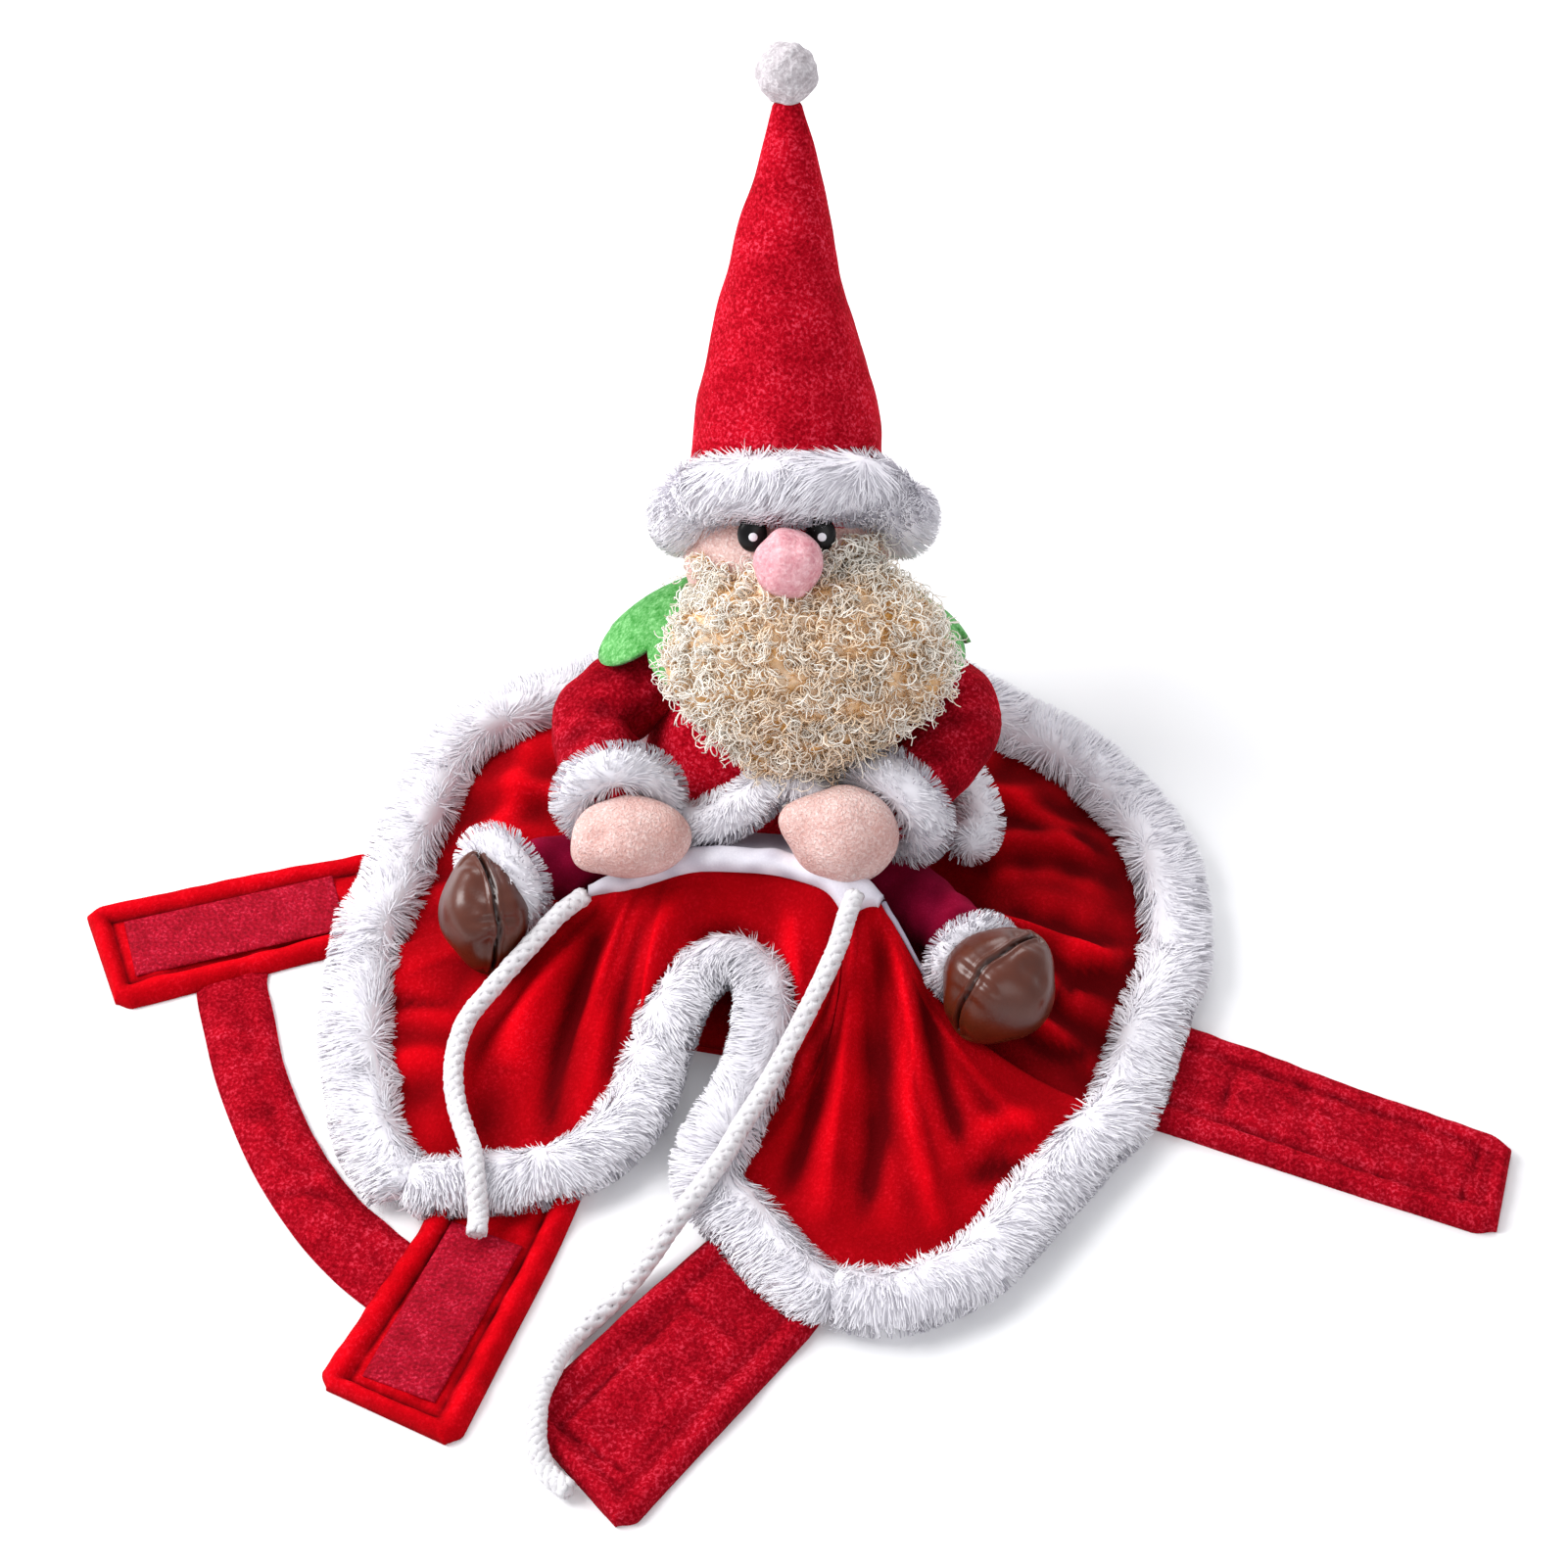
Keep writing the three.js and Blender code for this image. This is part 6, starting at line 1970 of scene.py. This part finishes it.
    def make(self) -> None:
        """Builds cuffs, hands, ankle bands and boots."""
        away = lambda v: np.array(v, float) @ RIDER_AXES
        for seed, (name, (centre, toward, radius, half)) in enumerate(self.cuffs.items(), 80):
            self.ring(name, Tube.ring(on_rider(centre), away(toward), radius, half), self.cuff_tufts, seed)
        for seed, (name, (centre, toward, radius, half)) in enumerate(self.ankles.items(), 84):
            self.ring(name, Tube.ring(centre, toward, radius, half), self.ankle_tufts, seed)
        for name, spec in self.hands.items():
            hand = self.hand(spec).build(f"{name}_plush", finish(SKIN_PLUSH))
            dress(hand, [name])
        for name, spec in self.boots.items():
            boot = self.boot(spec).build(f"{name}_leatherette", finish(BROWN_LEATHERETTE))
            dress(boot, [name])


# Head, hat and beard

HAT = [
    [0, 0, 112, 35, 35], [0, 0, 124, 34, 33.5], [0, 0, 153, 29.3, 28.5], [-1, -1, 186, 20.9, 20.5],
    [0.3, -1, 218, 12.9, 12.7], [0.3, 0, 246, 5.2, 5.2],
]
BRIM = [
    [0, 33, 129, 12.5], [15, 30.5, 129, 12.5], [28, 22, 125, 12.5], [37, 6, 112, 13],
    [36, -12, 107, 12.5], [20, -28, 112, 11.5], [0, -32, 114, 11], [-20, -28, 112, 11.5],
    [-33, -12, 107, 12], [-33, 6, 112, 12.5], [-27, 22, 124, 12], [-15, 30.5, 129, 12],
]


@dataclass
class Beard:
    """Curled wool beard: a lumpy pad under thousands of small wiry ringlets.

    Attributes:
        centre: of the pad on the rider's axes.
        half: its half sizes.
        taper: how much it narrows towards its lower end.
        aside: how much its lower end leans to the left.
        behind: half sizes of the shoulders, which end the pad at its back.
        behind_up: height of the shoulders' middle.
        wire: radius of a ringlet's thread.
        ringlets: number of ringlets on the pad.
        steps: points along each ringlet.
        cheeks: number of ringlets on the right cheek.
    """

    centre: tuple[float, float, float] = (6.8, 32.0, 66.0)
    half: tuple[float, float, float] = (51.5, 28.5, 42.5)
    taper: float = 0.36
    aside: float = 0.09
    behind: tuple[float, float, float] = (71.5, 44.0, 46.0)
    behind_up: float = 52.0
    wire: float = 0.3
    ringlets: int = 2900
    steps: int = 14
    cheeks: int = 120

    def bent(self, way: Array) -> Array:
        """Unit directions drawn in towards the beard's lower end."""
        low = ramp(0, 0.9, -way[:, 2])
        return np.c_[way[:, 0] * (1 - self.taper * low) - self.aside * low, way[:, 1:]]

    def pad(self) -> tuple[Shape, Array]:
        """The pad under the ringlets.

        Returns:
            The pad, and which of its points lie in front of the shoulders.
        """
        unit_ball = Ball(np.zeros(3), np.ones(3), np.eye(3)).shape(60, 96)
        way = self.bent(unit_ball.points)
        size = np.array(self.half) - 5.5
        local = np.array(self.centre) + way * size
        local += unit(way / size) * (waves(way * 40, 11, 91) * 1.4 + waves(way * 40, 4.5, 92) * 0.6)[:, None]
        side, front, up = self.behind
        left = 1 - (local[:, 0] / side) ** 2 - ((local[:, 2] - self.behind_up) / up) ** 2
        wall = front * np.sqrt(np.maximum(left, 0))
        hidden = local[:, 1] < wall
        local[:, 1] = np.where(hidden, wall, local[:, 1])
        hidden |= way[:, 1] < -0.35
        shape = Shape(on_rider(local), unit_ball.faces)
        # The pad is painted mostly in the honey root colour: its own tone and painted shade under the
        # ringlets, uneven at random.
        shape.shade = np.clip(0.35 + waves(shape.points, 7, 93) * 0.3, 0, 1)
        return shape, ~hidden

    def roots(
        self, pad: Shape, free: Array, count: int, rng: np.random.Generator, seed: int,
    ) -> tuple[Array, Array]:
        """Where the ringlets start: all over the pad's front, and up both cheeks beside the nose.

        Args:
            pad: the pad's shape.
            free: which of its points are not hidden.
            count: number of ringlets on the pad.
            rng: gives the draws for the cheeks.
            seed: for the draws on the pad.

        Returns:
            Places and outward directions.
        """
        middle = on_rider(self.centre)
        shown = np.array([bool(free[list(f)].all()) for f in pad.faces if len(f) == 4])
        roots, away = scatter(pad, count, seed, shown)
        away = away * np.sign(((roots - middle) * away).sum(1, keepdims=True))
        across = np.concatenate([rng.uniform(13, 31, self.cheeks), rng.uniform(-31, -19, self.cheeks // 3)])
        top = np.where(across > 0, 110, 103)
        up = 88 + (top - 88) * rng.uniform(0, 1, len(across))
        head = 34 * np.sqrt(np.maximum(1 - (across / 35.5) ** 2 - ((up - 100) / 36) ** 2, 0))
        cheek = on_rider(np.stack([across, 4 + head, up], -1))
        out = unit(cheek - on_rider([0, 4, 100]))
        return np.concatenate([roots, cheek]), np.concatenate([away, out])

    def curls(self, pad: Shape, free: Array, count: int, seed: int, size: float) -> Shape:
        """Small helical ringlets that stand on the pad.

        Args:
            pad: the pad's shape.
            free: which of its points are not hidden.
            count: number of ringlets.
            seed: for the random draws.
            size: mean radius of a loop.

        Returns:
            The ringlets as one shape.
        """
        rng = np.random.default_rng(seed)
        roots, away = self.roots(pad, free, count, rng, seed)
        count = len(roots)
        away = unit(away + rng.normal(size=(count, 3)) * 0.35)
        roots = roots - away * 0.8
        spin = unit(away * rng.normal(0.7, 0.5, (count, 1)) + rng.normal(size=(count, 3)) * 0.75)
        lie = unit(np.cross(away + rng.normal(size=(count, 3)) * 0.1, spin))
        over = np.cross(spin, lie)
        over = over * np.sign((over * away).sum(1, keepdims=True) + 1e-9)
        radius = size * rng.uniform(0.6, 1.25, (count, 1, 1))
        turns = rng.uniform(0.9, 1.8, (count, 1, 1))
        pitch = rng.uniform(0.5, 1.8, (count, 1, 1)) * rng.choice([-1, 1], (count, 1, 1))
        t = np.linspace(0, 1, self.steps)[None, :, None]
        phase = t * turns * TURN
        rise = t * (rng.uniform(0, 1, (count, 1, 1)) ** 2.2) * 6.0
        lifted = radius * 0.7 * ramp(0, 0.3, t) + rise
        line = roots[:, None] + over[:, None] * radius * (1 - np.cos(phase)) + away[:, None] * lifted
        line = line + lie[:, None] * radius * np.sin(phase) + spin[:, None] * pitch * phase / TURN
        line = line - UP * rise * 0.25
        ahead = unit(np.gradient(line, axis=1))
        first = unit(np.cross(ahead, spin[:, None] + 0.01))
        second = np.cross(ahead, first)
        rings = []
        thin = self.wire * (1 - 0.3 * t)
        for angle in (0, TURN / 3, TURN * 2 / 3):
            rings.append(line + (first * math.cos(angle) + second * math.sin(angle)) * thin)
        points = np.stack(rings, 2)
        index = np.arange(count * self.steps * 3).reshape(count, self.steps, 3)
        a, b = index[:, :-1], index[:, 1:]
        faces = np.stack([a, np.roll(a, -1, 2), np.roll(b, -1, 2), b], -1).reshape(-1, 4)
        # Painted shade and light: each ringlet is darker and more honey deep down by the pad, and lighter at
        # the beard's rim and on its left side, where the lamp falls; its tone also varies at random.
        depth = ((line - roots[:, None]) * away[:, None]).sum(-1)
        seen = ((roots - on_rider(self.centre)) @ RIDER_AXES.T) / np.array(self.half)
        rim = ramp(0.7, 1.0, np.hypot(seen[:, 0], seen[:, 2]))
        lit = np.maximum(rim, ramp(-0.25, -0.8, seen[:, 0]))
        tone = rng.uniform(0.55, 1.35, (count, 1)) * (0.78 + 0.6 * lit)[:, None]
        shade = np.clip(ramp(0.2, 3.8, depth) * tone + 0.05, 0, 1)
        return Shape(points.reshape(-1, 3), [tuple(f) for f in faces.tolist()], np.repeat(shade.ravel(), 3))

    def make(self) -> None:
        """Builds the pad and two layers of ringlets."""
        pad, free = self.pad()
        base = dress(pad.turned_out().build("beard_pad", finish(CURLED_WOOL)), ["beard"])
        inner = self.curls(pad, free, self.ringlets // 2, 95, 1.7)
        dress(inner.build("beard_curls_inner", finish(CURLED_WOOL)))
        outer = self.curls(pad, free, self.ringlets // 2, 96, 2.3)
        dress(outer.build("beard_curls_outer", finish(CURLED_WOOL)))


@dataclass
class Head:
    """The rider's head with eyes, nose, tall hat, fur brim and pompom, on the rider's axes."""

    centre: tuple[float, float, float] = (0.0, 4.0, 100.0)
    half: tuple[float, float, float] = (35.5, 34.0, 36.0)
    eye_out: float = 11.2
    eye_front: float = 35.5
    eye_up: float = 113.5
    nose_centre: tuple[float, float, float] = (0.6, 45.0, 106.5)
    nose_radius: float = 11.8
    pompom_centre: tuple[float, float, float] = (0.0, 0.0, 257.0)
    pompom_radius: float = 11.0
    brim_tufts: int = 12500

    def face(self) -> None:
        """Head, eyes and nose."""
        push = lambda way: waves(way * 34, 24, 101) * 0.4 - 0.2
        head = Ball(on_rider(self.centre), np.array(self.half)).shape(48, 70, push)
        local = (head.points - on_rider(self.centre)) @ RIDER_AXES.T
        between = np.exp(-((local[:, 0] / 9) ** 2) - (((local[:, 2] - 14) / 7) ** 2)) * (local[:, 1] > 0)
        head.shade = 1 - 0.75 * between
        dress(head.build("head_plush", finish(SKIN_PLUSH)), ["head"])
        for name, side in (("eye_left", -1), ("eye_right", 1)):
            centre = on_rider([side * self.eye_out, self.eye_front, self.eye_up])
            eye = Ball(centre, np.array([5.0, 2.6, 6.0])).shape(24, 36)
            dress(eye.build(f"{name}_button", finish(EYE_BLACK)), [name])
            # Painted reflection: a pale disc just in front of the eye stands for the lamp's glint.
            painted_glint = on_rider([side * self.eye_out + 0.3, self.eye_front + 2.6 + 0.55, self.eye_up])
            glint = Ball(painted_glint, np.array([1.5, 0.35, 1.5])).shape(10, 20)
            dress(glint.build(f"{name}_dot", finish(EYE_PAINTED_GLINT)), [f"{name}_glint"])
        nose = Ball(on_rider(self.nose_centre), np.full(3, self.nose_radius - 0.3)).shape(
            40, 56, lambda way: waves(way * 12, 8, 103) * 0.35)
        dress(nose.build("nose_ball", finish(NOSE_FELT)), ["nose"])

    def hat(self) -> Shape:
        """Tall stuffed hat.

        Returns:
            The shape.
        """
        def relief(p: Array, away: Array, share: Array, angle: Array) -> Array:
            """Soft dents and a seam down the back."""
            size = 1.1 - 0.7 * share
            seam = np.exp(-(((angle - 1.5 * math.pi) / 0.06) ** 2)) * 0.9
            return (waves(p, 26, 111) * 0.9 + waves(p, 11, 112) * 0.3) * size - seam
        return Tube.through(rider_rows(HAT)).shape(96, 68, 1.0, relief, 5)

    def make(self) -> None:
        """Builds every piece of the head and the hat."""
        self.face()
        hat = self.hat().build("hat_plush", finish(SUIT_PLUSH))
        dress(hat, ["hat"])
        rows = rider_rows(BRIM)
        tube = Tube.through(np.c_[rows, rows[:, 3]], closed=True)
        brim = fur_on(tube, BRIM_CUT, self.brim_tufts, 121, sideways=0.1, inner=0.84, flow=0.7)
        dress(brim.build("hat_brim_pile", finish(WHITE_FUR)), ["hat_brim_fur"])
        ball = Ball(on_rider(self.pompom_centre), np.full(3, self.pompom_radius - 0.8))
        pompom = ball.shape(40, 56, lambda way: waves(way * 11, 7, 131) * 0.5)
        dress(pompom.build("pompom_ball", finish(POMPOM_FELT)), ["pompom"])


def main() -> None:
    """Builds the studio, then every piece of the costume."""
    Studio().make()
    Reins().make()
    Cape().make()
    for name, facing, tape, bed in (
        ("belly_strap_left", Facing.LOOPS, "loop_tape_belly", 3.4),
        ("neck_strap_left", Facing.LOOPS, "loop_tape_neck", 3.4),
        ("belly_strap_right", Facing.PLUSH, "hook_tape_belly", 4.6),
        ("neck_strap_right", Facing.PLUSH, "hook_tape_neck", 4.4),
    ):
        Strap(name, facing, tape, bed).make()
    ChestStrip().make()
    Suit().make()
    Limbs().make()
    Beard().make()
    Head().make()


if __name__ == "__main__":
    logging.basicConfig(level=logging.INFO, format="%(name)s: %(message)s")
    main()
